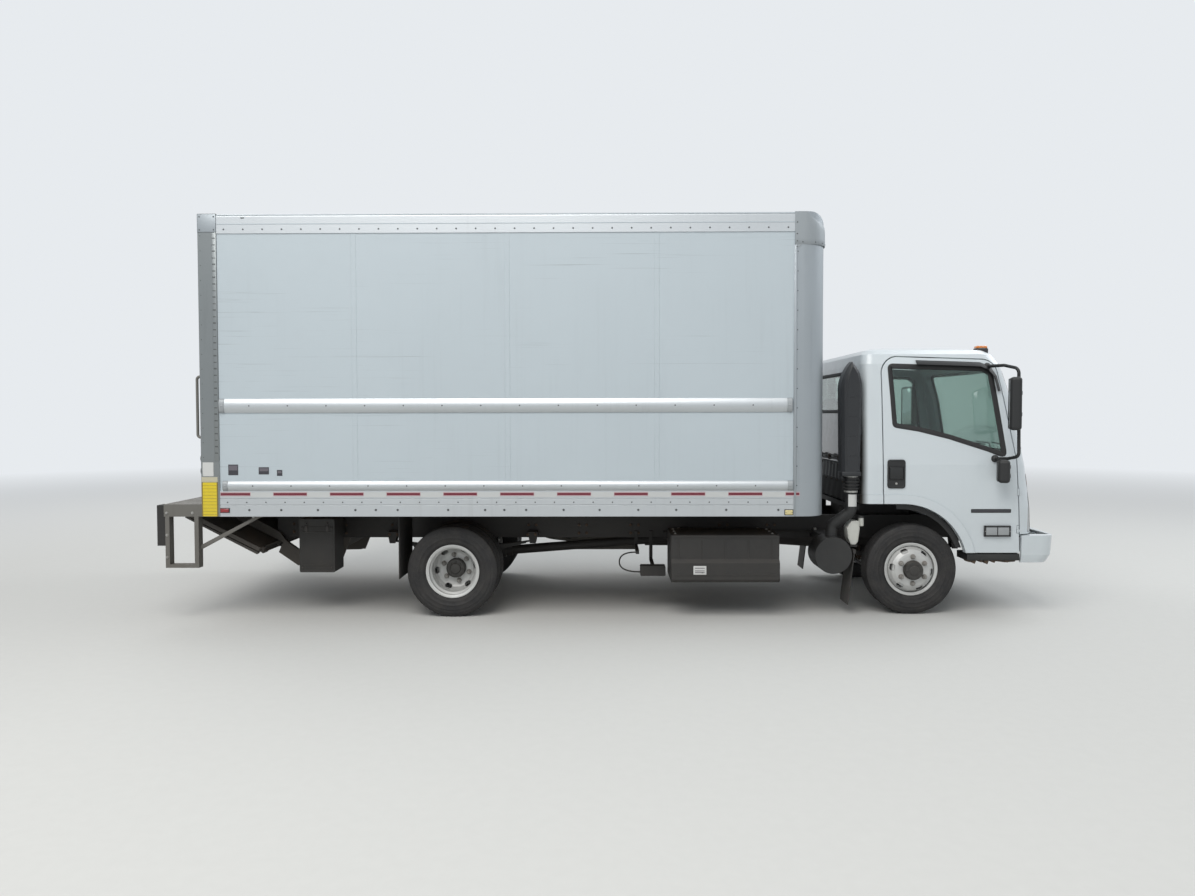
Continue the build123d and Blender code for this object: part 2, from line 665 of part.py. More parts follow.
door_outline = make_face([
    Line((-252, 600), (-262, 1990)), ThreePointArc((-262, 1990), (-225, 2098), (-140, 2142)),
    Line((-140, 2142), (560, 2118)), ThreePointArc((560, 2118), (640, 2092), (690, 2020)),
    Line((690, 2020), (831, 1291)), Line((831, 1291), (866, door_foot)), Line((866, door_foot), (866, 420)),
    Line((866, 420), (-252, 420)), Line((-252, 420), (-252, 600))])
door_opening_outline = make_face([
    Line((-260, 600), (-270, 1990)), ThreePointArc((-270, 1990), (-231, 2105), (-142, 2150)),
    Line((-142, 2150), (560, 2126)), ThreePointArc((560, 2126), (646, 2098), (698, 2022)),
    Line((698, 2022), (839, 1292)), Line((839, 1292), (874, door_foot)), Line((874, door_foot), (874, 400)),
    Line((874, 400), (-260, 400)), Line((-260, 400), (-260, 600))])
window_outline = rounded(outline((-205, 2078), (570, 2052), (640, 2010), (745, 1312), (600, 1368),
                                 (280, 1472),
                                 (35, 1534), (-172, 1568)), 28)

side_zone = 600               # doors and their openings lie outside this half width
door_left_form = across(door_outline, side_zone, 1100)
door_opening = across(door_opening_outline, side_zone, 1100)
window_left = across(window_outline, side_zone, 1100)

windscreen_outline = rounded(outline((-860, 1335), (860, 1335), (800, 2062), (-800, 2062)), 70)
windscreen_zone = along(windscreen_outline, 560, 1300)
back_window_outline = rounded(outline((-640, 1690), (640, 1690), (640, 2030), (-640, 2030)), 55)
back_window_zone = along(back_window_outline, cab_back - 60, cab_back + 160)

panel_zone = block((800, 1300), (-panel_half, panel_half), panel_z)
lamp_outline = rounded(outline((940, 690), (1200, 690), (1200, 1180), (962, 1180)), 10)
lamp_zone = across(lamp_outline, panel_half, 1100)

flare_zone = across(Pos(arch_x, arch_z) * Circle(arch_radius + flare_width), 900, 1100)
flare_zone = flare_zone + block((cab_back - 20, arch_x), (900, 1100),
                                (rear_low, arch_z + arch_radius + flare_width))
flare = ((cab_form(-flare_proud) - cab_form(10)) & flare_zone) - arch_cut - under_door

shell = cab_skin - arch_cut - under_door - under_nose - windscreen_zone - back_window_zone - panel_zone
for side in both(flare & block((cab_back - 20, arch_x), (900, 1100), (rear_low, 1100))):
    shell = shell + side
for side in both(door_opening + lamp_zone):
    shell = shell - side
floor_half = 940 - cab_wall
floor = block((cab_back + 20, 205), (-floor_half, floor_half), (seat_deck - floor_pan, seat_deck))
floor = floor + block((205, 205 + floor_pan), (-floor_half, floor_half), (front_floor - floor_pan, seat_deck))
floor = floor + block((205, 1120), (-floor_half, floor_half), (front_floor - floor_pan, front_floor))
floor = floor & cab_form(cab_wall + door_gap - 2, 440)
arch_room = across(Pos(arch_x, arch_z) * Circle(arch_radius), 865, 1100)
for side in both(arch_room):
    floor = floor - side
sill_link = block((cab_back + 10, cab_back + 80), (-820, 820), (seat_deck - floor_pan, seat_deck))
front_link = block((930, 1120), (-600, 600), (front_floor - floor_pan, front_floor)) & cab_inside
rear_feet = block((cab_back, cab_back + 45), (rail_inner - 20, rail_half + 5),
                  (support_top + joint_gap, rear_low + 30))
for side in both(rear_feet):
    shell = shell + side
shell = shell + floor + sill_link + front_link
lug_y = (310, 350)
pivot_lug = outline((pivot_x - 160, front_floor - 10), (pivot_x + 45, front_floor - 10),
                    (pivot_x + 34, pivot_z - 20),
                    (pivot_x + 14, pivot_z - 36), (pivot_x - 26, pivot_z - 30),
                    (pivot_x - 160, front_floor - 60))
for side in both(across(pivot_lug, *lug_y)):
    shell = shell + side
shell = shell - bar_y(pivot_x, pivot_z, -500, 500, pivot_radius + running_fit)


# Door hinges: the cab's half with its pin stands below the door's half

hinge_x, hinge_y = 848, 990
hinge_radius, hinge_pin = 8, 5
hinge_half = 28
hinge_low = (690, 1000)
leaf_y = (974, 987)


def hinge_room(low):
    return bar_z(hinge_x, hinge_y, low - 3, low + 2 * hinge_half + 4, hinge_radius + 3)


def cab_hinge(low):
    half = block((hinge_x, hinge_x + 34), leaf_y, (low, low + hinge_half))
    half = half + bar_z(hinge_x, hinge_y, low, low + hinge_half, hinge_radius)
    return half + bar_z(hinge_x, hinge_y, low, low + 2 * hinge_half - 2, hinge_pin)


def door_hinge(low):
    low = low + hinge_half + joint_gap
    half = block((hinge_x - 34, hinge_x), leaf_y, (low, low + hinge_half))
    half = half + bar_z(hinge_x, hinge_y, low, low + hinge_half, hinge_radius)
    return half - bar_z(hinge_x, hinge_y, low - 1, low + hinge_half + 1, hinge_pin + running_fit)


for low in hinge_low:
    for side in both(hinge_room(low)):
        shell = shell - side
    for side in both(cab_hinge(low)):
        shell = shell + side
save("cab_shell", shell)

glass_skin = cab_form(8) - cab_form(8 + glass)
save("cab_glass", glass_skin & windscreen_zone, glass_skin & back_window_zone)

panel_room = block((800, 1300), (-panel_half + joint_gap, panel_half - joint_gap),
                   (panel_z[0], panel_z[1] - joint_gap))
front_panel = (cab_outside - cab_form(panel_wall, 440)) & panel_room
grille_z = (735, 905)
grille_half = 560
front_panel = front_panel - block((700, 1300), (-grille_half, grille_half), grille_z)
save("front_panel", front_panel)
slats = cab_form(20) - cab_form(40)
slat_pitch = 42
rows = [slats & block((700, 1300), (-grille_half, grille_half), (low, low + 16))
        for low in range(grille_z[0] + 8, grille_z[1] - 16, slat_pitch)]
rib_y = (-grille_half + 10, 0, grille_half - 10)
ribs = [slats & block((700, 1300), (y - 10, y + 10), grille_z) for y in rib_y]
save("grille", fuse(ribs + rows))

headlamp_zone = across(offset(lamp_outline, -joint_gap), panel_half + joint_gap, 1100)
headlamp = (cab_form(2) - cab_form(45)) & headlamp_zone
roof_lamp_y = (-700, -180, 0, 180, 700)
roof_lamps = []
for y in roof_lamp_y:
    lamp = fillet(block((600, 690), (y - 32, y + 32), (2185, 2242)).edges().filter_by(Axis.Z), 20)
    roof_lamps.append(lamp - cab_outside)
save("cab_lamps", *both(headlamp), *roof_lamps)

liner = Circle(arch_radius - 6) - Circle(arch_radius - 16)
liner_wedge = outline((arch_x, arch_z), (arch_x - 60, arch_z + 900), (arch_x + 900, arch_z + 900),
                      (arch_x + 900, 560),
                      (arch_x + 300, 560))
lip = Circle(arch_radius - 6) - Circle(arch_radius - 50)
arch_liner = across((Pos(arch_x, arch_z) * liner) & liner_wedge, 870, 940)
arch_liner = arch_liner + across((Pos(arch_x, arch_z) * lip) & liner_wedge, 928, 940)
hangers = block((250, 290), (872, 888), (700, front_floor - floor_pan))
hangers = hangers + block((arch_x - 20, arch_x + 20), (872, 888), (900, seat_deck - floor_pan))
hangers = hangers - across(Pos(arch_x, arch_z) * Circle(arch_radius - 12), 800, 1000)
arch_liner = arch_liner + hangers
step_z = (458, 514)
cab_step = block((440, low_front_x), (760, 975), step_z)
cab_step = cab_step + block((600, 700), (760, 790), (step_z[0], front_floor - floor_pan))
save("cab_steps", *both(cab_step), *both(arch_liner))

seat_base_z = (seat_deck + 60, seat_deck + 200)


def seat(y0, y1):
    cushion = fillet(block((-330, 170), (y0, y1), seat_base_z).edges(), 30)
    back = across(rounded(outline((-330, seat_base_z[1] - 30), (-215, seat_base_z[1] - 30), (-260, 1850),
                                  (-355, 1850)), 30), y0, y1)
    foot = block((-300, 140), (y0 + 40, y1 - 40), (seat_deck, seat_base_z[0] + 20))
    head = block((-345, -275), ((y0 + y1) / 2 - 120, (y0 + y1) / 2 + 120), (1840, 1990))
    return cushion + back + foot + fillet(head.edges(), 25)


save("seats", seat(240, 740), seat(-780, -60))

dash = across(outline((760, 1010), (760, 1250), (830, 1300), (1030, 1300), (1030, 1010)), -870, 870)
dash = dash & cab_form(cab_wall + door_gap, 440)
column_x, column_z = 560, 1340
wheel_y = 490
column = across(outline((780, 1050), (780, 1180), (column_x + 20, column_z + 30),
                        (column_x - 10, column_z - 10)),
                wheel_y - 35, wheel_y + 35)
steering_tilt = 25
rim_ring = Rot(0, -steering_tilt, 0) * Torus(200, 14)
spokes = Rot(0, -steering_tilt, 0) * (Box(380, 36, 12) + Box(36, 380, 12) + Cylinder(60, 34))
dash = dash + column + Pos(column_x, wheel_y, column_z + 14) * (rim_ring + spokes)
dash_foot = block((930, 980), (-400, 400), (front_floor, 1020))
save("dashboard", dash + dash_foot)

snorkel_y = (-1010, -880)
snorkel_low = intake_top + joint_gap
snorkel_side = make_face([
    Line((-600, snorkel_low), (-450, snorkel_low)), Line((-450, snorkel_low), (-440, 1900)),
    ThreePointArc((-440, 1900), (-463, 2015), (-520, 2100)),
    ThreePointArc((-520, 2100), (-584, 2000), (-611, 1880)),
    Line((-611, 1880), (-600, snorkel_low))])
snorkel = across(snorkel_side, *snorkel_y)
outer_face = snorkel.faces().sort_by(Axis.Y)[0]
snorkel = chamfer([edge for edge in outer_face.edges() if edge.length > 160], 24)
for low in (1250, 1500):
    snorkel = snorkel + block((-520, cab_back + 40), (-930, -900), (low, low + 60))
save("snorkel", snorkel - cab_outside)


# Doors on vertical hinges at their front edges, with glass, mirror, lamp and handle

door_blank = cab_skin & door_left_form
door = door_blank + (flare & door_left_form)
door = door - arch_cut - block((-400, 1000), (600, 1100), (300, door_foot)) - window_left
for low in hinge_low:
    leaf_room = block((hinge_x - 3, hinge_x + 40), (leaf_y[0] - 3, leaf_y[1] + 4),
                      (low - 3, low + hinge_half + joint_gap))
    door = door - hinge_room(low) - leaf_room + door_hinge(low)
door_glass = glass_skin & window_left
lamp_box = block((568, 782), (960, 1012), (661, 750))
handle_box = rounded(outline((-226, 1061), (-85, 1061), (-85, 1292), (-226, 1292)), 14)
handle = across(handle_box, 975, 1006)
mirror_rod = pipe([(600, 905, 2062), (680, 1080, 2062), (738, 1215, 2030), (744, 1222, 1330),
                   (700, 1120, 1308),
                   (640, 975, 1300)], 13, [60, 50, 40, 60])
mirror_turn = 20              # the heads' outer edges point rearward


def mirror_head(x, y, length, width, low, high):
    head = Pos(x, y, (low + high) / 2) * Rot(0, 0, mirror_turn) * Box(length, width, high - low)
    return fillet(head.edges(), 26)


main_head = mirror_head(700, 1247, 85, 190, 1540, 1960)
lower_head = mirror_head(663, 1137, 90, 155, 1115, 1300)
mirrors = mirror_rod + main_head + lower_head
for side, flip in (("left", lambda piece: piece), ("right", mirrored)):
    save(f"door_{side}", flip(door))
    save(f"door_glass_{side}", flip(door_glass))
    save(f"door_fittings_{side}", flip(mirrors - cab_outside), flip(lamp_box - cab_outside),
         flip(handle - cab_outside))


# Load box: floor with its sills, walls, rails, rounded front, rear frame and roll-up door

wall_out = box_half - rail_lap
wall_in = wall_out - box_wall
post_x = box_front - front_post
rear_inner = box_rear + rear_post
deck = block((rear_inner, box_front - box_wall), (-wall_in, wall_in), (floor_top - floor_deck, floor_top))
sill_count = int((post_x - rear_inner) / sill_pitch)
for number in range(sill_count + 1):
    x = rear_inner + 120 + number * sill_pitch
    deck = deck + block((x, x + sill_width), (-wall_in, wall_in), (box_bottom, floor_top - floor_deck))
for side in both(block((rear_inner + 10, box_front - 60), (rail_inner + 5, rail_half - 5),
                       (rail_top, box_bottom + 20))):
    deck = deck + side
flap_hanger = block((rear_flap_x - 35, rear_flap_x + 20), (590, 1080), (box_bottom, box_bottom + 12))
for side in both(flap_hanger):
    deck = deck + side
front_zone = upright(nose_plan(box_front, box_half, front_radius, 89, box_front - 800, 5), 0, 4000)
inner_zone = upright(nose_plan(box_front - box_wall, box_half - box_wall, front_radius - box_wall, 89,
                               box_front - 900, 5),
                     0, 4000)
save("box_floor", deck & (inner_zone + block((box_rear - 10, box_front - 500), (-1300, 1300), (0, 2000))))

side_wall = block((rear_inner, post_x), (wall_in, wall_out), (bottom_rail_top - 15, top_rail_low + 3))
save("box_sides", *both(side_wall))


def front_profile(inset):
    top = box_top - inset
    front = box_front - inset
    radius = front_top_radius - inset
    diagonal = radius * (1 - sqrt(0.5))
    low = box_bottom - 10 if inset else box_bottom
    return make_face([
        Line((post_x - 200, low), (front, low)), Line((front, low), (front, top - radius)),
        ThreePointArc((front, top - radius), (front - diagonal, top - diagonal), (front - radius, top)),
        Line((front - radius, top), (post_x - 200, top)), Line((post_x - 200, top), (post_x - 200, low))])


front_wall = across(front_profile(0), -1300, 1300) & front_zone
front_wall = front_wall - (across(front_profile(box_wall), -1300, 1300) & inner_zone)
front_wall = front_wall & block((post_x, 0), (-1300, 1300), (800, 3300))
save("box_front", front_wall)

roof = block((rear_inner, post_x), (-box_half + 40, box_half - 40), (box_top - roof_sheet, box_top))
bow_pitch = 600
bow_count = int((post_x - rear_inner) / bow_pitch)
for number in range(bow_count):
    x = rear_inner + 250 + number * bow_pitch
    roof = roof + block((x, x + 40), (-box_half + 40, box_half - 40),
                        (box_top - roof_sheet - 28, box_top - roof_sheet))
save("box_roof", roof)

groove_z = (945, 997)
rail_x = (rear_inner, post_x)
bottom_rail = block(rail_x, (wall_in, wall_out), (box_bottom, bottom_rail_top - 15))
bottom_rail = bottom_rail + block(rail_x, (wall_out, box_half), (box_bottom, bottom_rail_top))
for z in groove_z:
    bottom_rail = bottom_rail - block(rail_x, (box_half - 4, box_half + 5), (z - 3, z + 3))
top_rail_section = make_face([
    Line((wall_in, top_rail_low + 3), (wall_out, top_rail_low + 3)),
    Line((wall_out, top_rail_low + 3), (wall_out, top_rail_low)),
    Line((wall_out, top_rail_low), (box_half, top_rail_low)),
    Line((box_half, top_rail_low), (box_half, box_top - 25)),
    ThreePointArc((box_half, box_top - 25), (box_half - 7.3, box_top - 7.3), (box_half - 25, box_top)),
    Line((box_half - 25, box_top), (box_half - 40, box_top)),
    Line((box_half - 40, box_top), (box_half - 40, box_top - 38)),
    Line((box_half - 40, box_top - 38), (wall_in, box_top - 38)),
    Line((wall_in, box_top - 38), (wall_in, top_rail_low + 3))])
top_rail = along(top_rail_section, *rail_x)
rub_rails = []
# low z, high z, rear end, front end
for low, high, rub_start, rub_end in ((bottom_rail_top + joint_gap, 1140, -5619, -1055),
                                      (1687, 1800, -5640, -1061)):
    middle = (low + high) / 2
    section = make_face([
        Line((wall_out, low), (wall_out + rail_lap, low)),
        ThreePointArc((wall_out + rail_lap, low), (wall_out + rub_proud, middle),
                      (wall_out + rail_lap, high)),
        Line((wall_out + rail_lap, high), (wall_out, high)), Line((wall_out, high), (wall_out, low))])
    rub_rails.append(along(section, rub_start, rub_end))
save("side_rails", *both(bottom_rail), *both(top_rail), *both(rub_rails[0]), *both(rub_rails[1]))

opening_half, opening_z = 1120, (floor_top, 3130)
rear_frame = block((box_rear, rear_inner), (-box_half, box_half), (box_bottom, box_top))
rear_frame = rear_frame - block((box_rear - 10, rear_inner + 10), (-opening_half, opening_half), opening_z)
save("rear_frame", rear_frame)

door_x = (box_rear + 40, box_rear + 66)
sections = 8
section_height = (opening_z[1] - opening_z[0]) / sections
shutter = block(door_x, (-opening_half, opening_half), opening_z)
for number in range(1, sections):
    z = opening_z[0] + number * section_height
    shutter = shutter - block((door_x[0] - 5, door_x[0] + 6), (-opening_half - 5, opening_half + 5),
                              (z - 4, z + 4))
shutter = shutter + block((door_x[0] - 22, door_x[0]), (-70, 70), (1120, 1240))
save("rollup_door", shutter)

lamps = []
for x0, x1, z0, z1 in ((-5651, -5572, 882, 922), (-1115, -1044, 862, 909)):
    lamps += both(block((x0, x1), (box_half, box_half + 14), (z0, z1)))
for y in (-1150, -160, 0, 160, 1150):
    lamps.append(block((box_rear - 14, box_rear), (y - 45, y + 45), (3180, 3215)))
for y in (-1170, 1170):
    lamps.append(bar_x(y, 1320, box_rear - 16, box_rear, 38))
    lamps.append(bar_x(y, 1220, box_rear - 16, box_rear, 38))
save("box_lamps", *lamps)

handle_y = 1175
grab = pipe([(box_rear, handle_y, 1490), (box_rear - 42, handle_y, 1490), (box_rear - 42, handle_y, 1980),
             (box_rear, handle_y, 1980)], 11, 24)
save("grab_handles", *both(grab))


# Steel steps and dock bumpers either side of the lift gate

frame_y = (1130, 1205)
tube = 34
step_top = 950
channel_low = 850
step_low = 434
bar_height = 27
deck_wall = 12
post_rear, post_front = -6107, -5870
beam_rear = -6117


def step_frame():
    body = block((beam_rear, box_rear), frame_y, (channel_low, step_top))
    body = body - block((beam_rear + 8, box_rear + 5), (frame_y[0] - 5, frame_y[1] - 8),
                        (channel_low + 8, step_top - deck_wall))
    for x in (post_rear, post_front):
        body = body + block((x, x + tube), frame_y, (step_low, channel_low + 8))
    return body + block((post_rear, post_front + tube), frame_y, (step_low, step_low + bar_height))


steps = step_frame() + mirrored(step_frame())
steps = steps + block((beam_rear, box_rear), (-frame_y[0] - 10, frame_y[0] + 10),
                      (step_top - deck_wall, step_top))
steps = steps + block((beam_rear, beam_rear + deck_wall), (-frame_y[0] - 10, frame_y[0] + 10),
                      (step_top - 45, step_top - 6))
brace_x = post_front + tube
brace_side = outline((brace_x - 5, 575), (brace_x - 5, 612), (-5385, box_bottom - 4), (-5335, box_bottom - 4))
brace = across(brace_side, 1125, 1165)
brace = brace + block((-5400, -5320), (1125, 1200), (box_bottom - 8, box_bottom))
for side in both(brace):
    steps = steps + side
save("rear_steps", steps)

rubber = block((-rear_reach, post_rear), (frame_y[0] - 40, frame_y[1] - 6), (613, 942))
rubber = rubber - block((beam_rear, 0), (1000, 1300), (channel_low, 1000))
save("dock_rubbers", *both(rubber))


# Lift gate. Places on it are given along the folded platform: d towards the front, h square to it and up

def gate_place(d, h):
    slope = radians(gate_slope)
    return (gate_pin[0] + d * cos(slope) + h * sin(slope), gate_pin[1] - d * sin(slope) + h * cos(slope))


def gate_plate(points, y0, y1):
    return across(outline(*[gate_place(d, h) for d, h in points]), y0, y1)


pivot_pin = 22
shackle_pin = 16
arm_y = (gate_arm_y - gate_arm_width / 2, gate_arm_y + gate_arm_width / 2)
arm = gate_plate([(-30, 20), (20, 46), (290, 108), (700, 96), (789, 50), (911, 30), (1196, 149), (1239, 39),
                  (976, -99),
                  (770, -70), (765, 28), (110, 28), (30, -20)], *arm_y)
arm = arm + bar_y(*gate_pivot, *arm_y, 58) + bar_y(*gate_pin, *arm_y, 40)
cross_d, cross_h = 980, -20
cross_x, cross_z = gate_place(cross_d, cross_h)
arms = arm + mirrored(arm) + bar_y(cross_x, cross_z, -arm_y[0] - 10, arm_y[0] + 10, 38)
rod_eye = (-4930, 612)
lever_half = 15
eye_bolt = 11
eye_play = 12.5               # the fork's open eye, as the rod keeps a straight line while the lever swings
lever = across(outline((cross_x - 30, cross_z - 10), (cross_x + 20, cross_z - 35),
                       (rod_eye[0] + 26, rod_eye[1] - 20),
                       (rod_eye[0] + 10, rod_eye[1] + 26), (rod_eye[0] - 24, rod_eye[1] + 18)), -lever_half,
                       lever_half)
arms = arms + lever + bar_y(*rod_eye, -38, 38, eye_bolt)
for side in both(bar_y(*gate_pivot, 300, 600, pivot_pin + running_fit)):
    arms = arms - side
for side in both(bar_y(*gate_pin, arm_y[0] - 24, arm_y[1] + 24, shackle_pin)):
    arms = arms + side
save("gate_arms", arms)

hanger_y = (385, 415)
hanger_plate = outline((-5130, rail_bottom), (-4830, rail_bottom), (-4920, 350), (-5040, 350))
gate_mount = across(hanger_plate, *hanger_y) + bar_y(*gate_pivot, hanger_y[0], arm_y[1] + 12, pivot_pin)
mount = gate_mount + mirrored(gate_mount)
mount = mount + block((-4900, -4850), (-hanger_y[0], hanger_y[0]), (500, 560))
save("gate_mount", mount)

pump_box = block((-5124, -4826), (-900, -650), (344, 795))
pump_box = fillet(pump_box.edges().filter_by(Axis.Y), 12)
pump_box = pump_box + block((-5080, -4870), (-660, -rail_half), (620, 740))
save("pump_box", pump_box)

platform = gate_plate([(62, -platform_thick / 2), (62, platform_thick / 2),
                       (platform_length - 20, platform_thick / 2),
                       (platform_length - 20, -platform_thick / 2)], -platform_half, platform_half)
for side in both(gate_plate([(0, -60), (0, 80), (150, 80), (150, -60)], arm_y[0] - 22, arm_y[1] + 22)):
    platform = platform - side
for y0, y1 in ((arm_y[0] - 22, arm_y[0] - 6), (arm_y[1] + 6, arm_y[1] + 22)):
    shackle = gate_plate([(0, -30), (0, 30), (160, 22), (160, -22)], y0, y1) + bar_y(*gate_pin, y0, y1, 34)
    for side in both(shackle):
        platform = platform + side
for side in both(bar_y(*gate_pin, arm_y[0] - 60, arm_y[1] + 60, shackle_pin + running_fit)):
    platform = platform - side
fold_d, fold_h = platform_length, -platform_thick / 2 - 4
fold_x, fold_z = gate_place(fold_d, fold_h)
for low, high in ((-820, -780), (-420, -380), (380, 420), (780, 820)):
    ear = gate_plate([(platform_length - 60, platform_thick / 2), (platform_length - 10, platform_thick / 2),
                      (platform_length + 10, fold_h), (platform_length - 6, fold_h - 8),
                      (platform_length - 40, -platform_thick / 2)],
                     low, high)
    platform = platform + ear + bar_y(fold_x, fold_z, low, high, 14)
platform = platform - bar_y(fold_x, fold_z, -900, 900, 8 + running_fit)
save("gate_platform", platform)

ramp_high = -platform_thick / 2 - 8
ramp = gate_plate([(platform_length - 22, ramp_high), (platform_length - 22, ramp_high - ramp_thick),
                   (platform_length - 22 - ramp_length, ramp_high - 14),
                   (platform_length - 22 - ramp_length, ramp_high)],
                  -platform_half, platform_half)
ramp = ramp + bar_y(fold_x, fold_z, -830, 830, 8)
for low, high in ((-776, -740), (-376, -340), (340, 376), (740, 776)):
    ear = gate_plate([(platform_length - 40, ramp_high - 10), (platform_length + 4, fold_h + 8),
                      (platform_length + 8, fold_h - 8),
                      (platform_length - 26, ramp_high - ramp_thick + 4)], low, high)
    ramp = ramp + ear + bar_y(fold_x, fold_z, low, high, 14)
for low, high in ((-824, -776), (-424, -376), (376, 424), (776, 824)):
    room = gate_plate([(platform_length - 60, 40), (platform_length + 40, 40),
                       (platform_length + 40, ramp_high - ramp_thick - 5),
                       (platform_length - 60, ramp_high - ramp_thick - 5)], low, high)
    ramp = ramp - (room - bar_y(fold_x, fold_z, low - 5, high + 5, 8))
for side in both(gate_plate([(0, -60), (0, 0), (120, 0), (120, -60)], arm_y[0] - 28, arm_y[1] + 28)):
    ramp = ramp - side
save("gate_ramp", ramp)

barrel_length = 440
barrel_radius = 38
rod_radius = 18
reach = hypot(rod_eye[0] - cylinder_base[0], rod_eye[1] - cylinder_base[1])
lean = degrees(atan2(rod_eye[1] - cylinder_base[1], rod_eye[0] - cylinder_base[0]))


def on_cylinder(start, end, radius):
    # a bar from start to end along the cylinder, measured from its base pin
    middle = (start + end) / 2
    a = radians(lean)
    place = Pos(cylinder_base[0] + middle * cos(a), 0, cylinder_base[1] + middle * sin(a))
    return place * Rot(0, 90 - lean, 0) * Cylinder(radius, end - start)


barrel = on_cylinder(30, barrel_length, barrel_radius) + bar_y(*cylinder_base, -18, 18, 34)
barrel = barrel - bar_y(*cylinder_base, -60, 60, 15 + running_fit)
barrel = barrel - on_cylinder(60, barrel_length + 20, rod_radius + running_fit)
save("gate_cylinder", barrel)
rod = on_cylinder(130, reach - 50, rod_radius) + on_cylinder(reach - 75, reach - 50, 38)
for low, high in ((-38, -20), (20, 38)):
    cheek = bar_y(*rod_eye, low, high, 34) + block((rod_eye[0], rod_eye[0] + 64), (low, high),
                                                   (rod_eye[1] - 24, rod_eye[1] + 24))
    rod = rod + (cheek - bar_y(*rod_eye, low - 5, high + 5, eye_bolt + eye_play))
save("gate_rod", rod)
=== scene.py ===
# Box truck with a tuck-under lift gate: the looks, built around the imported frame
from math import cos, pi, radians, sin, sqrt

import bmesh
import bpy
from mathutils import Matrix, Vector
from mathutils.bvhtree import BVHTree


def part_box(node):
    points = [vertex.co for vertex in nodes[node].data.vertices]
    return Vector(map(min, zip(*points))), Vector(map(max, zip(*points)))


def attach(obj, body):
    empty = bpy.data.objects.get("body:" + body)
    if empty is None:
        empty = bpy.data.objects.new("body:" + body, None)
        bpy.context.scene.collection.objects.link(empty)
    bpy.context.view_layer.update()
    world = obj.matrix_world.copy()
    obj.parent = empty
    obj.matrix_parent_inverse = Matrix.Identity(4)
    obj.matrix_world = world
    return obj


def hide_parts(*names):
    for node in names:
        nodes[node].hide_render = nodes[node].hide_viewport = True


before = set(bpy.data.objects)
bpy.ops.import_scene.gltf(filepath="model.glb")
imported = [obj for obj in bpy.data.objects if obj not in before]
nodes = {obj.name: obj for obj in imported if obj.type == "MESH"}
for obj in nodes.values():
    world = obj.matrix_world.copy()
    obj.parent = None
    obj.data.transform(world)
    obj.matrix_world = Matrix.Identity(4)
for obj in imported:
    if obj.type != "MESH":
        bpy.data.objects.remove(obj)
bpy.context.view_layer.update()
shift = 2.475    # stations are measured from the front axle, the row's origin lies this far behind it

# Camera, as the photograph was taken
cameraView = {
    "place": (-2.5242, -8.4154, 1.6773), "yaw": 0.0118, "pitch": 0.0335, "roll": -0.0017,
    "focalPixels": 900.0, "frameWidth": 1195.0, "lowered": -4.278,
}


def linked(name, data):
    thing = bpy.data.objects.new(name, data)
    bpy.context.scene.collection.objects.link(thing)
    return thing


def buildCamera(view):
    data = bpy.data.cameras.new("photoCamera")
    data.sensor_width = 36.0
    data.lens = view["focalPixels"] / view["frameWidth"] * 36.0
    data.shift_y = view["lowered"] / view["frameWidth"]
    data.clip_end = 300.0
    camera = linked("photoCamera", data)
    yaw, pitch = view["yaw"], view["pitch"]
    ahead = Vector((-sin(yaw) * cos(pitch), cos(yaw) * cos(pitch), -sin(pitch)))
    right = Vector((cos(yaw), sin(yaw), 0.0))
    up = right.cross(ahead)
    turn = Matrix((right, up, -ahead)).transposed().to_4x4() @ Matrix.Rotation(view["roll"], 4, "Z")
    x, y, z = view["place"]
    camera.matrix_world = Matrix.Translation((x + shift, y, z)) @ turn
    bpy.context.scene.camera = camera


buildCamera(cameraView)
print("camera done")


# Node helpers

def addNode(tree, kind, place=(0, 0), **settings):
    node = tree.nodes.new(kind)
    node.location = place
    for key, value in settings.items():
        setattr(node, key, value)
    return node


def setInputs(node, **values):
    for key, value in values.items():
        node.inputs[key.replace("_", " ")].default_value = value
    return node


def join(tree, source, target):
    tree.links.new(source, target)


def feed(tree, target, value):
    # value is a socket or a plain value
    if isinstance(value, bpy.types.NodeSocket):
        join(tree, value, target)
    else:
        target.default_value = value


def rgba(color, dim=1.0):
    return tuple(part * dim for part in color) + (1,)


def mixColor(tree, factor, first, second, place=(0, 0)):
    node = addNode(tree, "ShaderNodeMix", place, data_type="RGBA")
    for index, value in ((0, factor), (6, first), (7, second)):
        feed(tree, node.inputs[index], value)
    return node.outputs[2]


def mixValue(tree, factor, first, second, place=(0, 0)):
    node = addNode(tree, "ShaderNodeMix", place, data_type="FLOAT")
    for index, value in ((0, factor), (2, first), (3, second)):
        feed(tree, node.inputs[index], value)
    return node.outputs[0]


def calc(tree, operation, first, second=0.0, place=(0, 0), clamp=False):
    node = addNode(tree, "ShaderNodeMath", place, operation=operation, use_clamp=clamp)
    for index, value in ((0, first), (1, second)):
        feed(tree, node.inputs[index], value)
    return node.outputs[0]


def objectPlace(tree, place):
    return addNode(tree, "ShaderNodeTexCoord", place).outputs["Object"]


def splitUp(tree, vector, place):
    node = addNode(tree, "ShaderNodeSeparateXYZ", place)
    join(tree, vector, node.inputs[0])
    return node.outputs


def stretched(tree, place, scale=(1.0, 1.0, 1.0)):
    # object coordinates, scaled
    mapping = addNode(tree, "ShaderNodeMapping", (place[0] - 200, place[1]))
    mapping.inputs["Scale"].default_value = scale
    join(tree, objectPlace(tree, (place[0] - 400, place[1])), mapping.inputs["Vector"])
    return mapping.outputs[0]


def noise(tree, vector, scale, detail=4.0, rough=0.55, place=(0, 0)):
    node = addNode(tree, "ShaderNodeTexNoise", place)
    setInputs(node, Scale=scale, Detail=detail, Roughness=rough)
    join(tree, vector, node.inputs["Vector"])
    return node.outputs["Fac"]


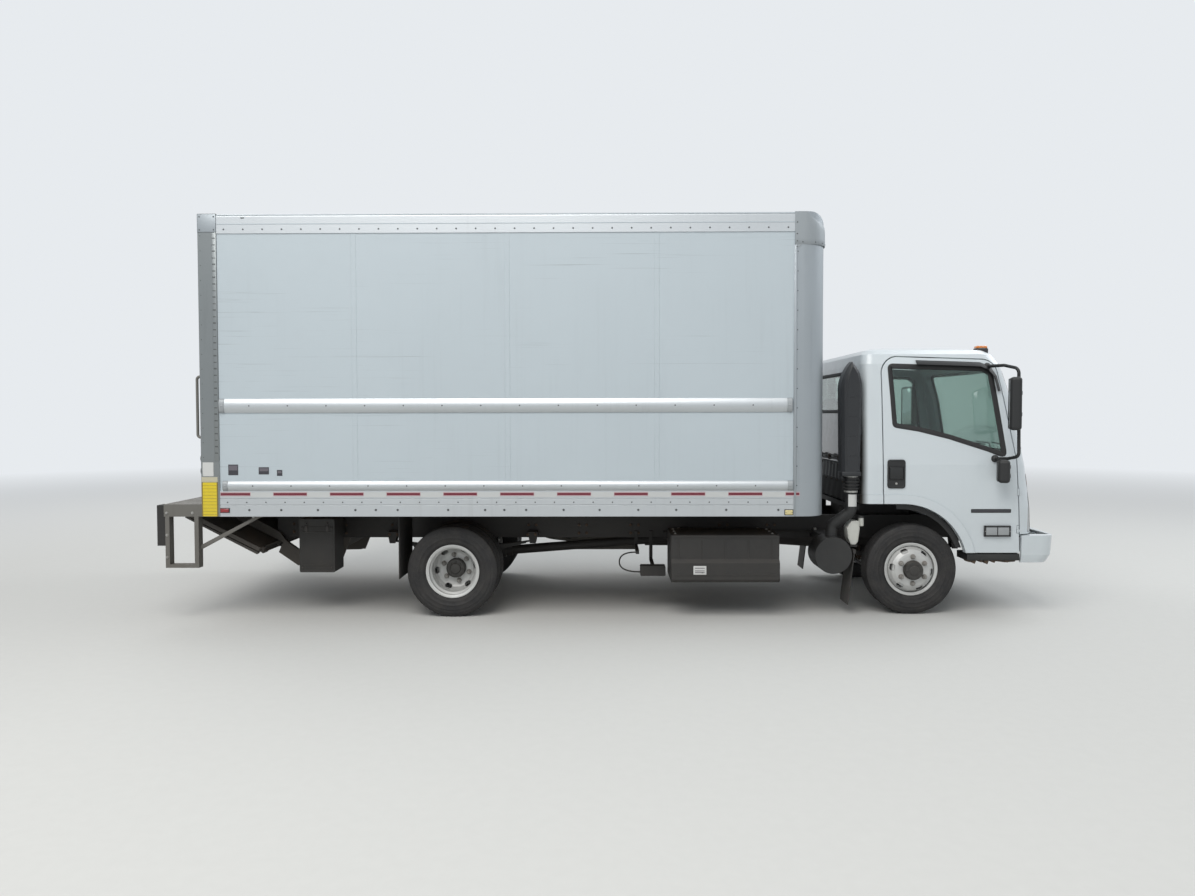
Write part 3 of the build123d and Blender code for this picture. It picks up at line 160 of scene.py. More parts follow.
def span(tree, value, low, high, toLow=0.0, toHigh=1.0, place=(0, 0)):
    node = addNode(tree, "ShaderNodeMapRange", place)
    join(tree, value, node.inputs[0])
    for index, number in ((1, low), (2, high), (3, toLow), (4, toHigh)):
        node.inputs[index].default_value = number
    return node.outputs[0]


# Shared effects, each a node group with its own inputs and outputs

def newGroup(name, inputs, outputs):
    tree = bpy.data.node_groups.new(name, "ShaderNodeTree")
    for label, start in inputs.items():
        kind = "NodeSocketColor" if isinstance(start, tuple) else "NodeSocketFloat"
        tree.interface.new_socket(label, in_out="INPUT", socket_type=kind).default_value = start
    for label, kind in outputs.items():
        tree.interface.new_socket(label, in_out="OUTPUT", socket_type=f"NodeSocket{kind}")
    # the group's inputs as sockets to read, and its outputs as sockets to feed
    return tree, addNode(tree, "NodeGroupInput", (-900, 0)).outputs, addNode(tree, "NodeGroupOutput", (800, 0)).inputs


def roadDustGroup():
    # road film that is thick near the ground and on ledges, patchy above
    tree, inside, outside = newGroup("roadDust", {
        "Paint": (0.5, 0.5, 0.5, 1), "Dust": (0.3, 0.27, 0.23, 1), "Amount": 0.4, "Fade Height": 1.2,
    }, {"Color": "Color", "Mask": "Float"})
    facing = splitUp(tree, addNode(tree, "ShaderNodeNewGeometry", (-900, -300)).outputs["Normal"], (-700, -300))
    coords = objectPlace(tree, (-900, -600))
    place = splitUp(tree, coords, (-700, -600))
    patches = noise(tree, coords, 3.1, 8.0, 0.68, (-500, -600))
    fine = noise(tree, coords, 38.0, 4.0, 0.6, (-500, -800))
    low = calc(tree, "DIVIDE", place["Z"], inside["Fade Height"], (-500, -400))
    near = calc(tree, "SUBTRACT", 1.15, low, (-300, -400), True)
    ledge = calc(tree, "MULTIPLY", calc(tree, "MAXIMUM", facing["Z"], 0.0, (-500, -200)), 0.55, (-300, -200))
    gather = calc(tree, "ADD", near, ledge, (-100, -300))
    texture = calc(tree, "ADD", span(tree, patches, 0.3, 0.72, 0.25, 1.15, (-300, -600)),
                   calc(tree, "MULTIPLY", fine, 0.25, (-300, -800)), (-100, -600))
    mask = calc(tree, "MULTIPLY", calc(tree, "MULTIPLY", gather, texture, (100, -400)), inside["Amount"], (300, -400),
                True)
    color = mixColor(tree, mask, inside["Paint"], inside["Dust"], (500, 0))
    join(tree, color, outside["Color"])
    join(tree, mask, outside["Mask"])
    return tree


def rainStreakGroup():
    # narrow grey runs that hang down a wall, and small specks
    tree, inside, outside = newGroup("rainStreaks", {
        "Paint": (0.5, 0.5, 0.5, 1), "Streak": (0.3, 0.3, 0.29, 1), "Amount": 0.3, "Scuffs": 0.0,
    }, {"Color": "Color", "Mask": "Float"})
    runs = noise(tree, stretched(tree, (-400, -200), (26.0, 26.0, 0.9)), 1.0, 5.0, 0.6, (-200, -200))
    clouds = noise(tree, stretched(tree, (-400, -450), (1.0, 1.0, 0.7)), 1.3, 6.0, 0.6, (-200, -450))
    specks = noise(tree, stretched(tree, (-400, -700)), 90.0, 2.0, 0.5, (-200, -700))
    sharp = span(tree, runs, 0.52, 0.78, 0.0, 1.0, (0, -200))
    soft = span(tree, clouds, 0.40, 0.75, 0.0, 0.8, (0, -450))
    dots = span(tree, specks, 0.70, 0.78, 0.0, 0.5, (0, -700))
    both = calc(tree, "ADD", calc(tree, "MULTIPLY", sharp, soft, (200, -200)),
                calc(tree, "MULTIPLY", soft, 0.35, (200, -400)), (350, -300))
    mask = calc(tree, "MULTIPLY", calc(tree, "ADD", both, dots, (450, -400)), inside["Amount"], (550, -300), True)
    # branches along a wall leave level scratches, mostly high up; here they come in patches at any height
    lines = noise(tree, stretched(tree, (-400, -950), (0.8, 0.8, 62.0)), 1.0, 4.0, 0.6, (-200, -950))
    areas = noise(tree, stretched(tree, (-400, -1200), (0.5, 0.5, 1.6)), 1.0, 3.0, 0.5, (-200, -1200))
    scratch = calc(tree, "MULTIPLY", span(tree, lines, 0.60, 0.68, 0.0, 1.0, (0, -950)),
                   span(tree, areas, 0.50, 0.62, 0.0, 1.0, (0, -1200)), (200, -1000))
    scratch = calc(tree, "MULTIPLY", scratch, inside["Scuffs"], (400, -1000))
    mask = calc(tree, "MAXIMUM", mask, scratch, (600, -500))
    color = mixColor(tree, mask, inside["Paint"], inside["Streak"], (550, 0))
    join(tree, color, outside["Color"])
    join(tree, mask, outside["Mask"])
    return tree


def edgeWearGroup():
    # a mask of rubbed edges, and a normal that rounds them
    tree, inside, outside = newGroup("edgeWear", {"Radius": 0.004, "Amount": 0.6},
                                     {"Mask": "Float", "Normal": "Vector"})
    bevel = addNode(tree, "ShaderNodeBevel", (-400, 0), samples=3)
    join(tree, inside["Radius"], bevel.inputs["Radius"])
    geometry = addNode(tree, "ShaderNodeNewGeometry", (-400, -250))
    dot = addNode(tree, "ShaderNodeVectorMath", (-200, -100), operation="DOT_PRODUCT")
    join(tree, bevel.outputs[0], dot.inputs[0])
    join(tree, geometry.outputs["Normal"], dot.inputs[1])
    bend = calc(tree, "SUBTRACT", 1.0, dot.outputs["Value"], (0, -100))
    chips = noise(tree, objectPlace(tree, (-600, -450)), 55.0, 6.0, 0.7, (-400, -450))
    rubbed = calc(tree, "MULTIPLY", span(tree, bend, 0.01, 0.09, 0.0, 1.0, (150, -100)),
                  span(tree, chips, 0.38, 0.62, 0.0, 1.0, (-100, -450)), (300, -200))
    mask = calc(tree, "MULTIPLY", rubbed, inside["Amount"], (450, -200), True)
    join(tree, mask, outside["Mask"])
    join(tree, bevel.outputs[0], outside["Normal"])
    return tree


roadDust = roadDustGroup()
rainStreaks = rainStreakGroup()
edgeWear = edgeWearGroup()


def useGroup(tree, group, place, **values):
    node = addNode(tree, "ShaderNodeGroup", place, node_tree=group)
    for key, value in values.items():
        feed(tree, node.inputs[key.replace("_", " ")], value)
    return node


def newMaterial(name):
    material = bpy.data.materials.new(name)
    material.use_nodes = True
    return material, material.node_tree, material.node_tree.nodes["Principled BSDF"]


def coarseBump(tree, shader, height, strength, distance, normal=None):
    bump = addNode(tree, "ShaderNodeBump", (-250, -500))
    setInputs(bump, Strength=strength, Distance=distance)
    join(tree, height, bump.inputs["Height"])
    if normal is not None:
        join(tree, normal, bump.inputs["Normal"])
    join(tree, bump.outputs[0], shader.inputs["Normal"])


# Finishes. A row gives what differs from the defaults: roughness, dust and its height (m), wear of the edges,
# rounding radius (m), grain scale and depth (m)
finishDefaults = dict(rough=0.45, dust=(0.2, 0.19, 0.18), dustAmount=0.3, dustHeight=1.6, wear=0.2,
                      worn=(0.1, 0.1, 0.1), bevel=0.003, grain=60.0, depth=0.0003)
finishes = {
    # the cab's white paint set bluish grey as it looks in shadow: painted shade
    "cabWhiteInShade": dict(color=(0.62, 0.675, 0.705), rough=0.3, coat=0.5, dust=(0.34, 0.32, 0.29), dustAmount=0.16,
        dustHeight=1.0, streaks=0.1, wear=0.1, worn=(0.3, 0.3, 0.3), bevel=0.006, grain=6.0, depth=0.0004),
    # the box's white paint set bluish grey as it looks in shadow: painted shade
    "boxWhite": dict(color=(0.49, 0.555, 0.595), rough=0.42, coat=0.15, dust=(0.36, 0.35, 0.33), dustAmount=0.05,
        streaks=0.22, scuffs=0.5, wear=0.15, worn=(0.35, 0.35, 0.36), grain=1.6, depth=0.0012),
    "railAluminium": dict(color=(0.56, 0.59, 0.61), rough=0.38, metallic=0.75, dust=(0.38, 0.37, 0.35),
        dustAmount=0.16, dustHeight=1.3, streaks=0.3, wear=0.25, worn=(0.75, 0.75, 0.75), grain=9.0),
    "postAluminium": dict(color=(0.37, 0.405, 0.43), rough=0.44, metallic=0.7, dust=(0.33, 0.32, 0.3),
        dustAmount=0.12, dustHeight=1.5, streaks=0.6, worn=(0.6, 0.62, 0.63), bevel=0.004, grain=7.0, depth=0.0004),
    "postSteel": dict(color=(0.25, 0.27, 0.275), rough=0.36, metallic=0.8, dust=(0.27, 0.26, 0.24), dustAmount=0.22,
        streaks=0.4, worn=(0.6, 0.6, 0.58), grain=7.0),
    "galvanised": dict(color=(0.185, 0.18, 0.165), rough=0.55, metallic=0.6, dust=(0.12, 0.105, 0.09), dustAmount=0.5,
        dustHeight=1.2, streaks=0.3, wear=0.3, worn=(0.36, 0.35, 0.33), depth=0.0002),
    "chassisBlack": dict(color=(0.018, 0.018, 0.018), rough=0.6, dust=(0.09, 0.08, 0.068), dustHeight=1.0,
        streaks=0.1, wear=0.25, worn=(0.1, 0.07, 0.05), grain=30.0, depth=0.0004),
    "gateSteel": dict(color=(0.085, 0.08, 0.072), rough=0.6, metallic=0.2, dust=(0.12, 0.1, 0.085), dustAmount=0.45,
        dustHeight=1.2, streaks=0.2, wear=0.6, worn=(0.19, 0.17, 0.15), grain=40.0, depth=0.0004),
    "castIron": dict(color=(0.05, 0.05, 0.052), rough=0.65, metallic=0.3, dust=(0.1, 0.085, 0.07), dustAmount=0.5,
        dustHeight=1.2, worn=(0.16, 0.15, 0.14), bevel=0.008, grain=80.0, depth=0.0006),
    "blackPlastic": dict(color=(0.012, 0.013, 0.014), rough=0.5, dust=(0.1, 0.095, 0.085), dustAmount=0.2,
        dustHeight=1.3, wear=0.1, worn=(0.07, 0.07, 0.07), bevel=0.004, grain=220.0, depth=0.0002),
    "snorkelPlastic": dict(color=(0.014, 0.016, 0.019), dust=(0.13, 0.13, 0.13), dustAmount=0.12, dustHeight=2.0,
        wear=0.15, worn=(0.09, 0.09, 0.09), bevel=0.005, grain=200.0, depth=0.0002),
    "bottleWhite": dict(color=(0.6, 0.61, 0.57), dust=(0.27, 0.25, 0.22), dustAmount=0.35, dustHeight=1.4, wear=0.1,
        worn=(0.7, 0.7, 0.65), bevel=0.006, grain=30.0),
    "rimSilver": dict(color=(0.62, 0.63, 0.62), rough=0.38, metallic=0.35, dust=(0.2, 0.18, 0.16), dustHeight=0.8,
        wear=0.3, worn=(0.62, 0.62, 0.62), bevel=0.004, grain=35.0),
    "flapRubber": dict(color=(0.02, 0.02, 0.02), rough=0.75, dust=(0.1, 0.09, 0.08), dustAmount=0.4, dustHeight=0.9,
        wear=0.1, worn=(0.06, 0.06, 0.06), bevel=0.004, grain=90.0, depth=0.0005),
    "seatCloth": dict(color=(0.035, 0.038, 0.042), rough=0.92, dust=(0.07, 0.07, 0.068), dustAmount=0.15,
        dustHeight=2.5, wear=0.0, bevel=0.0, grain=420.0, depth=0.0001),
    "dashPlastic": dict(color=(0.045, 0.048, 0.05), rough=0.6, dust=(0.14, 0.135, 0.125), dustAmount=0.12,
        dustHeight=2.5, wear=0.0, bevel=0.006, grain=260.0),
    "deckWood": dict(color=(0.28, 0.18, 0.1), rough=0.6, dust=(0.2, 0.18, 0.15), dustHeight=2.5,
        worn=(0.35, 0.26, 0.17), grain=25.0, depth=0.0008),
    "nutSteel": dict(color=(0.4, 0.4, 0.38), metallic=0.6, dust=(0.15, 0.12, 0.1), dustAmount=0.6, dustHeight=0.9,
        wear=0.3, worn=(0.6, 0.6, 0.6), bevel=0.002),
    "hubBlack": dict(color=(0.022, 0.024, 0.024), dust=(0.1, 0.085, 0.07), dustAmount=0.35, dustHeight=0.9,
        worn=(0.12, 0.12, 0.12), grain=90.0),
    # dark rivet and bolt heads stand for the shade round them, painted shade; the same finish gives the dark marks on
    # the rear post strip
    "rivetDark": dict(color=(0.12, 0.13, 0.135), metallic=0.6, dust=(0.1, 0.1, 0.095), dustAmount=0.5, dustHeight=3.0,
        wear=0.0, bevel=0.001, depth=0.0001),
    "endCap": dict(color=(0.36, 0.385, 0.4), rough=0.42, metallic=0.5, dustAmount=0.2, dustHeight=2.0,
        worn=(0.55, 0.56, 0.57), grain=40.0),
    "castCorner": dict(color=(0.33, 0.36, 0.38), rough=0.5, metallic=0.55, dust=(0.22, 0.22, 0.21), dustAmount=0.15,
        dustHeight=4.0, streaks=0.35, wear=0.3, worn=(0.55, 0.56, 0.57), bevel=0.004, grain=55.0, depth=0.0006),
    "tapeRed": dict(color=(0.16, 0.012, 0.03), rough=0.35, dust=(0.2, 0.16, 0.15), dustAmount=0.2, dustHeight=1.5,
        worn=(0.35, 0.2, 0.2), bevel=0.001, grain=900.0, depth=0.0001),
    "tapePink": dict(color=(0.55, 0.4, 0.42), dust=(0.36, 0.34, 0.32), dustAmount=0.25, dustHeight=1.5, wear=0.0,
        bevel=0.001, grain=900.0, depth=0.0001),
    "tapeWhite": dict(color=(0.56, 0.58, 0.58), rough=0.4, dust=(0.4, 0.38, 0.36), dustHeight=1.5, wear=0.0,
        bevel=0.001, grain=900.0, depth=0.0001),
    "tapeYellow": dict(color=(0.72, 0.56, 0.02), rough=0.4, dust=(0.3, 0.24, 0.12), dustHeight=1.3,
        worn=(0.4, 0.35, 0.2), bevel=0.001, grain=500.0, depth=0.0002),
    "tapeEdge": dict(color=(0.22, 0.16, 0.03), rough=0.5, dust=(0.2, 0.17, 0.12), dustHeight=1.3, wear=0.0,
        bevel=0.001, grain=500.0, depth=0.0001),
    "tapeBeige": dict(color=(0.52, 0.49, 0.36), rough=0.5, dust=(0.35, 0.32, 0.26), dustHeight=1.5, wear=0.1,
        worn=(0.4, 0.4, 0.35), bevel=0.001, grain=200.0, depth=0.0001),
    "stickerWhite": dict(color=(0.62, 0.63, 0.62), rough=0.4, dust=(0.4, 0.38, 0.35), dustAmount=0.25, wear=0.3,
        worn=(0.45, 0.45, 0.43), bevel=0.002, grain=80.0, depth=0.0001),
    "stickerDark": dict(color=(0.035, 0.035, 0.045), dustAmount=0.15, worn=(0.3, 0.3, 0.3), bevel=0.002, grain=80.0,
        depth=0.0001),
    "stickerGrey": dict(color=(0.13, 0.12, 0.14), dustAmount=0.15, wear=0.0, bevel=0.002, grain=300.0, depth=0.0001),
    "lampBase": dict(color=(0.03, 0.03, 0.032), rough=0.5, dust=(0.12, 0.11, 0.1), dustHeight=1.5, wear=0.1,
        bevel=0.002, grain=150.0, depth=0.0002),
    "sealRubber": dict(color=(0.012, 0.012, 0.013), rough=0.6, dust=(0.12, 0.115, 0.105), dustAmount=0.12,
        dustHeight=2.0, wear=0.1, worn=(0.05, 0.05, 0.05), bevel=0.002, grain=160.0, depth=0.0002),
    "smokedPlastic": dict(color=(0.006, 0.006, 0.007), rough=0.42, specular=0.2, dust=(0.16, 0.16, 0.155),
        dustAmount=0.05, dustHeight=2.0, wear=0.05, worn=(0.05, 0.05, 0.05), grain=3.0),
    "glossPlastic": dict(color=(0.012, 0.013, 0.014), rough=0.28, dust=(0.13, 0.125, 0.115), dustAmount=0.12,
        wear=0.15, worn=(0.07, 0.07, 0.07), grain=120.0, depth=0.0001),
    "reflector": dict(color=(0.62, 0.64, 0.66), rough=0.14, metallic=0.9, coat=0.7, dust=(0.4, 0.39, 0.36),
        dustAmount=0.06, wear=0.0, grain=18.0, depth=0.0006),
    "rustySteel": dict(color=(0.055, 0.04, 0.03), rough=0.75, metallic=0.15, dust=(0.13, 0.085, 0.055),
        dustAmount=0.7, dustHeight=1.2, wear=0.5, worn=(0.16, 0.1, 0.065), grain=70.0, depth=0.0006),
    "headrestCloth": dict(color=(0.3, 0.31, 0.31), rough=0.92, dust=(0.3, 0.29, 0.27), dustAmount=0.15,
        dustHeight=2.5, wear=0.0, bevel=0.0, grain=420.0, depth=0.0001),
    "stitchDark": dict(color=(0.018, 0.019, 0.021), rough=0.9, dust=(0.06, 0.06, 0.058), dustAmount=0.2,
        dustHeight=2.5, wear=0.0, bevel=0.001, grain=700.0, depth=0.0004),
    "strapWebbing": dict(color=(0.05, 0.055, 0.065), rough=0.85, dust=(0.15, 0.14, 0.13), dustHeight=1.8,
        worn=(0.14, 0.14, 0.14), bevel=0.001, grain=600.0, depth=0.0005),
}


def finishMaterial(name):
    spec = {**finishDefaults, **finishes[name]}
    material, tree, shader = newMaterial(name)
    wear = useGroup(tree, edgeWear, (-900, -400), Radius=spec["bevel"], Amount=spec["wear"])
    painted = mixColor(tree, wear.outputs["Mask"], rgba(spec["color"]), rgba(spec["worn"]), (-700, 200))
    if spec.get("streaks"):
        streak = useGroup(tree, rainStreaks, (-500, 200), Paint=painted, Amount=spec["streaks"],
                          Scuffs=spec.get("scuffs", 0.0), Streak=rgba(spec["color"], 0.55))
        painted = streak.outputs["Color"]
    dusty = useGroup(tree, roadDust, (-300, 200), Paint=painted, Dust=rgba(spec["dust"]),
                     Amount=spec["dustAmount"], Fade_Height=spec["dustHeight"])
    join(tree, dusty.outputs["Color"], shader.inputs["Base Color"])
    rough = mixValue(tree, dusty.outputs["Mask"], spec["rough"], min(spec["rough"] + 0.4, 0.95), (-300, -100))
    join(tree, rough, shader.inputs["Roughness"])
    if spec.get("metallic"):
        metal = mixValue(tree, dusty.outputs["Mask"], spec["metallic"], 0.0, (-300, -250))
        join(tree, metal, shader.inputs["Metallic"])
    if spec.get("specular"):
        setInputs(shader, Specular_IOR_Level=spec["specular"])
    if spec.get("coat"):
        setInputs(shader, Coat_Weight=spec["coat"], Coat_Roughness=0.12)
    grain = noise(tree, objectPlace(tree, (-1100, -700)), spec["grain"], 3.0, 0.6, (-700, -700))
    coarseBump(tree, shader, grain, 0.6, spec["depth"], wear.outputs["Normal"])
    return material


materials = {name: finishMaterial(name) for name in finishes}


def shadedBackWallMaterial(plan):
    # the cab's white paint, its back wall blackened from the floor up: painted shade of the narrow gap between cab
    # and box
    material = materials["cabWhiteInShade"].copy()
    material.name = "cabShadedBack"
    tree = material.node_tree
    shader = tree.nodes["Principled BSDF"]
    paint = shader.inputs["Base Color"].links[0].from_socket
    coords = objectPlace(tree, (-900, 700))
    place = splitUp(tree, coords, (-700, 700))
    clouds = noise(tree, coords, 7.0, 8.0, 0.7, (-700, 900))
    rear, front = (edge / 1000 + shift for edge in plan["edge"])
    back = span(tree, place["X"], rear, front, 1.0, 0.0, (-500, 700))
    ragged = calc(tree, "ADD", place["Z"], calc(tree, "MULTIPLY", clouds, 0.5, (-500, 900)), (-400, 900))
    low = span(tree, ragged, plan["full"] / 1000 + 0.25, plan["shadeTop"] / 1000 + 0.25, 1.0, 0.12, (-300, 900))
    mask = calc(tree, "MULTIPLY", back, low, (-100, 800), True)
    # painted shade: the back wall turns near black low down and fades out towards the roof
    join(tree, mixColor(tree, mask, paint, rgba(plan["shadeColor"]), (100, 700)), shader.inputs["Base Color"])
    return material


# painted shade on the cab's back wall: near black below the first height, gone above the second
materials["cabShadedBack"] = shadedBackWallMaterial({"edge": (-425, -380), "full": 1420, "shadeTop": 2250,
                                         "shadeColor": (0.035, 0.032, 0.028)})


def lensMaterial(name, color):
    # moulded lens: ribs inside, gloss outside
    material, tree, shader = newMaterial(name)
    ribs = addNode(tree, "ShaderNodeTexWave", (-400, 0), wave_type="BANDS", bands_direction="Z")
    setInputs(ribs, Scale=55.0, Distortion=0.0)
    join(tree, stretched(tree, (-600, 0)), ribs.inputs["Vector"])
    depth = span(tree, ribs.outputs["Fac"], 0.0, 1.0, 0.0, 0.35)
    shade = mixColor(tree, depth, rgba(color), rgba(color, 0.45), (-200, 100))
    join(tree, shade, shader.inputs["Base Color"])
    coarseBump(tree, shader, ribs.outputs["Fac"], 0.4, 0.001)
    setInputs(shader, Roughness=0.08, Coat_Weight=0.8, Coat_Roughness=0.05)
    return material


lensColors = {"redLens": (0.30, 0.008, 0.012), "amberLens": (0.75, 0.22, 0.015), "clearLens": (0.55, 0.57, 0.58),
              "headlampLens": (0.34, 0.36, 0.37), "markerLens": (0.72, 0.62, 0.30)}
for name, color in lensColors.items():
    materials[name] = lensMaterial(name, color)


def glassMaterial(name, tint, clear):
    material, tree, shader = newMaterial(name)
    haze = noise(tree, stretched(tree, (-600, 0)), 2.2, 6.0, 0.65, (-400, 0))
    rough = span(tree, haze, 0.45, 0.8, 0.01, 0.12, (-200, -100))
    join(tree, rough, shader.inputs["Roughness"])
    color = mixColor(tree, span(tree, haze, 0.4, 0.9, 0.0, 0.4), rgba(tint), rgba(tint, 0.85), (-200, 100))
    join(tree, color, shader.inputs["Base Color"])
    setInputs(shader, IOR=1.45, Transmission_Weight=clear)
    return material


materials["greenGlass"] = glassMaterial("greenGlass", (0.50, 0.61, 0.57), 1.0)


def mirrorMaterial():
    material, tree, shader = newMaterial("mirrorGlass")
    smear = noise(tree, stretched(tree, (-600, 0)), 9.0, 5.0, 0.6, (-400, 0))
    join(tree, span(tree, smear, 0.4, 0.8, 0.02, 0.14, (-200, 0)), shader.inputs["Roughness"])
    join(tree, mixColor(tree, smear, (0.72, 0.75, 0.76, 1), (0.62, 0.64, 0.65, 1), (-200, 200)),
         shader.inputs["Base Color"])
    setInputs(shader, Metallic=1.0)
    return material


materials["mirrorGlass"] = mirrorMaterial()


def tyreMaterial():
    material, tree, shader = newMaterial("tyreRubber")
    coords = objectPlace(tree, (-1100, 0))
    fine = noise(tree, coords, 120.0, 4.0, 0.6, (-900, -300))
    cloud = noise(tree, coords, 9.0, 6.0, 0.62, (-900, 0))
    dirt = span(tree, cloud, 0.35, 0.75, 0.0, 0.55, (-700, 0))
    rubber = mixColor(tree, dirt, (0.014, 0.014, 0.015, 1), (0.055, 0.05, 0.045, 1), (-500, 100))
    join(tree, rubber, shader.inputs["Base Color"])
    join(tree, span(tree, fine, 0.3, 0.7, 0.62, 0.85, (-500, -200)), shader.inputs["Roughness"])
    coarseBump(tree, shader, fine, 0.5, 0.0006)
    return material


materials["tyreRubber"] = tyreMaterial()

# CAD nodes keep their own shape and get a finish
nodeFinish = {
    # the cab shell gets painted shade on its back wall
    "cabShadedBack": ["cab_shell"],
    "cabWhiteInShade": ["front_panel", "bumper", "door_left", "door_right"],
    "boxWhite": ["box_sides", "rollup_door"],
    "postAluminium": ["box_front", "box_roof"],
    "postSteel": ["rear_frame"],
    "railAluminium": ["side_rails"],
    "galvanised": ["rear_steps", "grab_handles", "exhaust", "gate_rod"],
    "chassisBlack": ["frame", "front_axle", "rear_axle", "leaf_springs", "drive_shaft", "fuel_tank", "pump_box",
                     "knuckle_left", "knuckle_right", "tie_rod", "gate_cylinder", "side_box", "crossmembers",
                     "valve_block"],
    "gateSteel": ["gate_mount", "gate_arms", "gate_platform", "gate_ramp"],
    "castIron": ["engine"],
    "blackPlastic": ["air_cleaner", "grille", "cab_steps", "door_fittings_left", "door_fittings_right"],
    "snorkelPlastic": ["snorkel"],
    "bottleWhite": ["coolant_bottle"],
    "rimSilver": ["front_rim_left", "front_rim_right", "rear_rims_left", "rear_rims_right"],
    "flapRubber": ["mudflaps", "dock_rubbers"],
    "tyreRubber": ["front_tyre_left", "front_tyre_right", "rear_tyres_left", "rear_tyres_right"],
    "seatCloth": ["seats"],
    "dashPlastic": ["dashboard"],
    "deckWood": ["box_floor"],
    "redLens": ["box_lamps"],
    "headlampLens": ["cab_lamps"],
    "greenGlass": ["cab_glass", "door_glass_left", "door_glass_right"],
}
for finish, names in nodeFinish.items():
    for name in names:
        mesh = nodes[name].data
        mesh.materials.clear()
        mesh.materials.append(materials[finish])

print("finishes done")

# Mesh helpers. Places are in millimetres: x from the front axle, y to the left, z up from the road

def at(x, y, z):
    return Vector((x / 1000 + shift, y / 1000, z / 1000))


def wide(side, a, b):
    # a (low, high) pair across the truck, mirrored for the kerb side
    return sorted((side * a, side * b))


# side is +1 for the left or road side, -1 for the right or kerb side
handOf = {1: "left", -1: "right"}
wallOf = {1: "road", -1: "kerb"}


def extent(box):
    # a node's two corners as three (low, high) pairs, in millimetres from the front axle
    return [((low - start) * 1000, (high - start) * 1000) for low, high, start in zip(*box, (shift, 0, 0))]


def turns(count, start=0.0):
    return [start + 2 * pi * n / count for n in range(count)]


def pitched(start, end, pitch):
    # places from start, a pitch apart, short of the end
    while start < end:
        yield start
        start += pitch


def bridge(bm, rows, mark=0, ring=False):
    # faces between each row of points and the next; ring joins a row's last point to its first
    for first, second in zip(rows, rows[1:]):
        for n in range(len(first) if ring else len(first) - 1):
            m = (n + 1) % len(first)
            bm.faces.new((first[n], first[m], second[m], second[n])).material_index = mark


def pieceFrom(bm, name, finish, body="chassis", crease=38):
    bmesh.ops.recalc_face_normals(bm, faces=bm.faces)
    mesh = bpy.data.meshes.new(name)
    bm.to_mesh(mesh)
    bm.free()
    for face in mesh.polygons:
        face.use_smooth = True
    mesh.set_sharp_from_angle(angle=radians(crease))
    finishNames = [finish] if isinstance(finish, str) else finish
    for item in finishNames:
        mesh.materials.append(materials[item])
    piece = linked(name, mesh)
    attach(piece, body)
    return piece


def addBlock(bm, x, y, z, bevel=2.0, segments=2, mark=0):
    # x, y and z are (low, high) pairs
    low, high = at(x[0], y[0], z[0]), at(x[1], y[1], z[1])
    size = high - low
    place = Matrix.Translation((low + high) / 2) @ Matrix.Diagonal((size.x, size.y, size.z, 1))
    made = bmesh.ops.create_cube(bm, size=1.0, matrix=place)
    faces = {face for vert in made["verts"] for face in vert.link_faces}
    for face in faces:
        face.material_index = mark
    if bevel:
        edges = list({edge for vert in made["verts"] for edge in vert.link_edges})
        bmesh.ops.bevel(bm, geom=edges, offset=bevel / 1000, segments=segments, profile=0.5, affect="EDGES",
                        material=mark)


def axes(direction):
    ahead = Vector(direction).normalized()
    side = ahead.orthogonal().normalized()
    return side, ahead.cross(side), ahead


def addTurned(bm, profile, center, direction, steps=24, mark=0, start=0.0):
    # profile: (radius, how far along the direction), both in millimetres
    u, v, w = axes(direction)
    rings = []
    for radius, along in profile:
        middle = center + w * along / 1000
        if radius < 0.01:
            rings.append([bm.verts.new(middle)])
        else:
            rings.append([bm.verts.new(middle + (u * cos(a) + v * sin(a)) * radius / 1000)
                          for a in turns(steps, start)])
    for first, second in zip(rings, rings[1:]):
        for n in range(steps):
            m = (n + 1) % steps
            corners = [first[n % len(first)], first[m % len(first)], second[m % len(second)], second[n % len(second)]]
            corners = list(dict.fromkeys(corners))
            if len(corners) > 2:
                bm.faces.new(corners).material_index = mark


def addPrism(bm, points, y0, y1, bevel=0.0, mark=0, segments=2):
    # an outline in x and z, filled from y0 to y1
    near = [bm.verts.new(at(x, y0, z)) for x, z in points]
    far = [bm.verts.new(at(x, y1, z)) for x, z in points]
    faces = [bm.faces.new(near), bm.faces.new(far)]
    count = len(points)
    for n in range(count):
        m = (n + 1) % count
        faces.append(bm.faces.new((near[n], near[m], far[m], far[n])))
    bmesh.ops.recalc_face_normals(bm, faces=faces)
    for face in faces:
        face.material_index = mark
    if bevel:
        edges = list({edge for face in faces for edge in face.edges})
        bmesh.ops.bevel(bm, geom=edges, offset=bevel / 1000, segments=segments, profile=0.5, affect="EDGES",
                        material=mark)


def roundedPoints(points, radius, steps=5):
    # an outline with its corners rounded by arcs
    result = []
    count = len(points)
    for n in range(count):
        corner = Vector(points[n])
        before, after = Vector(points[n - 1]) - corner, Vector(points[(n + 1) % count]) - corner
        half = before.angle(after) / 2
        cut = min(radius / max(sin(half) / cos(half), 0.05), before.length * 0.49, after.length * 0.49)
        start, end = corner + before.normalized() * cut, corner + after.normalized() * cut
        for step in range(steps + 1):
            t = step / steps
            result.append(tuple(start.lerp(corner, t).lerp(corner.lerp(end, t), t)))
    return result


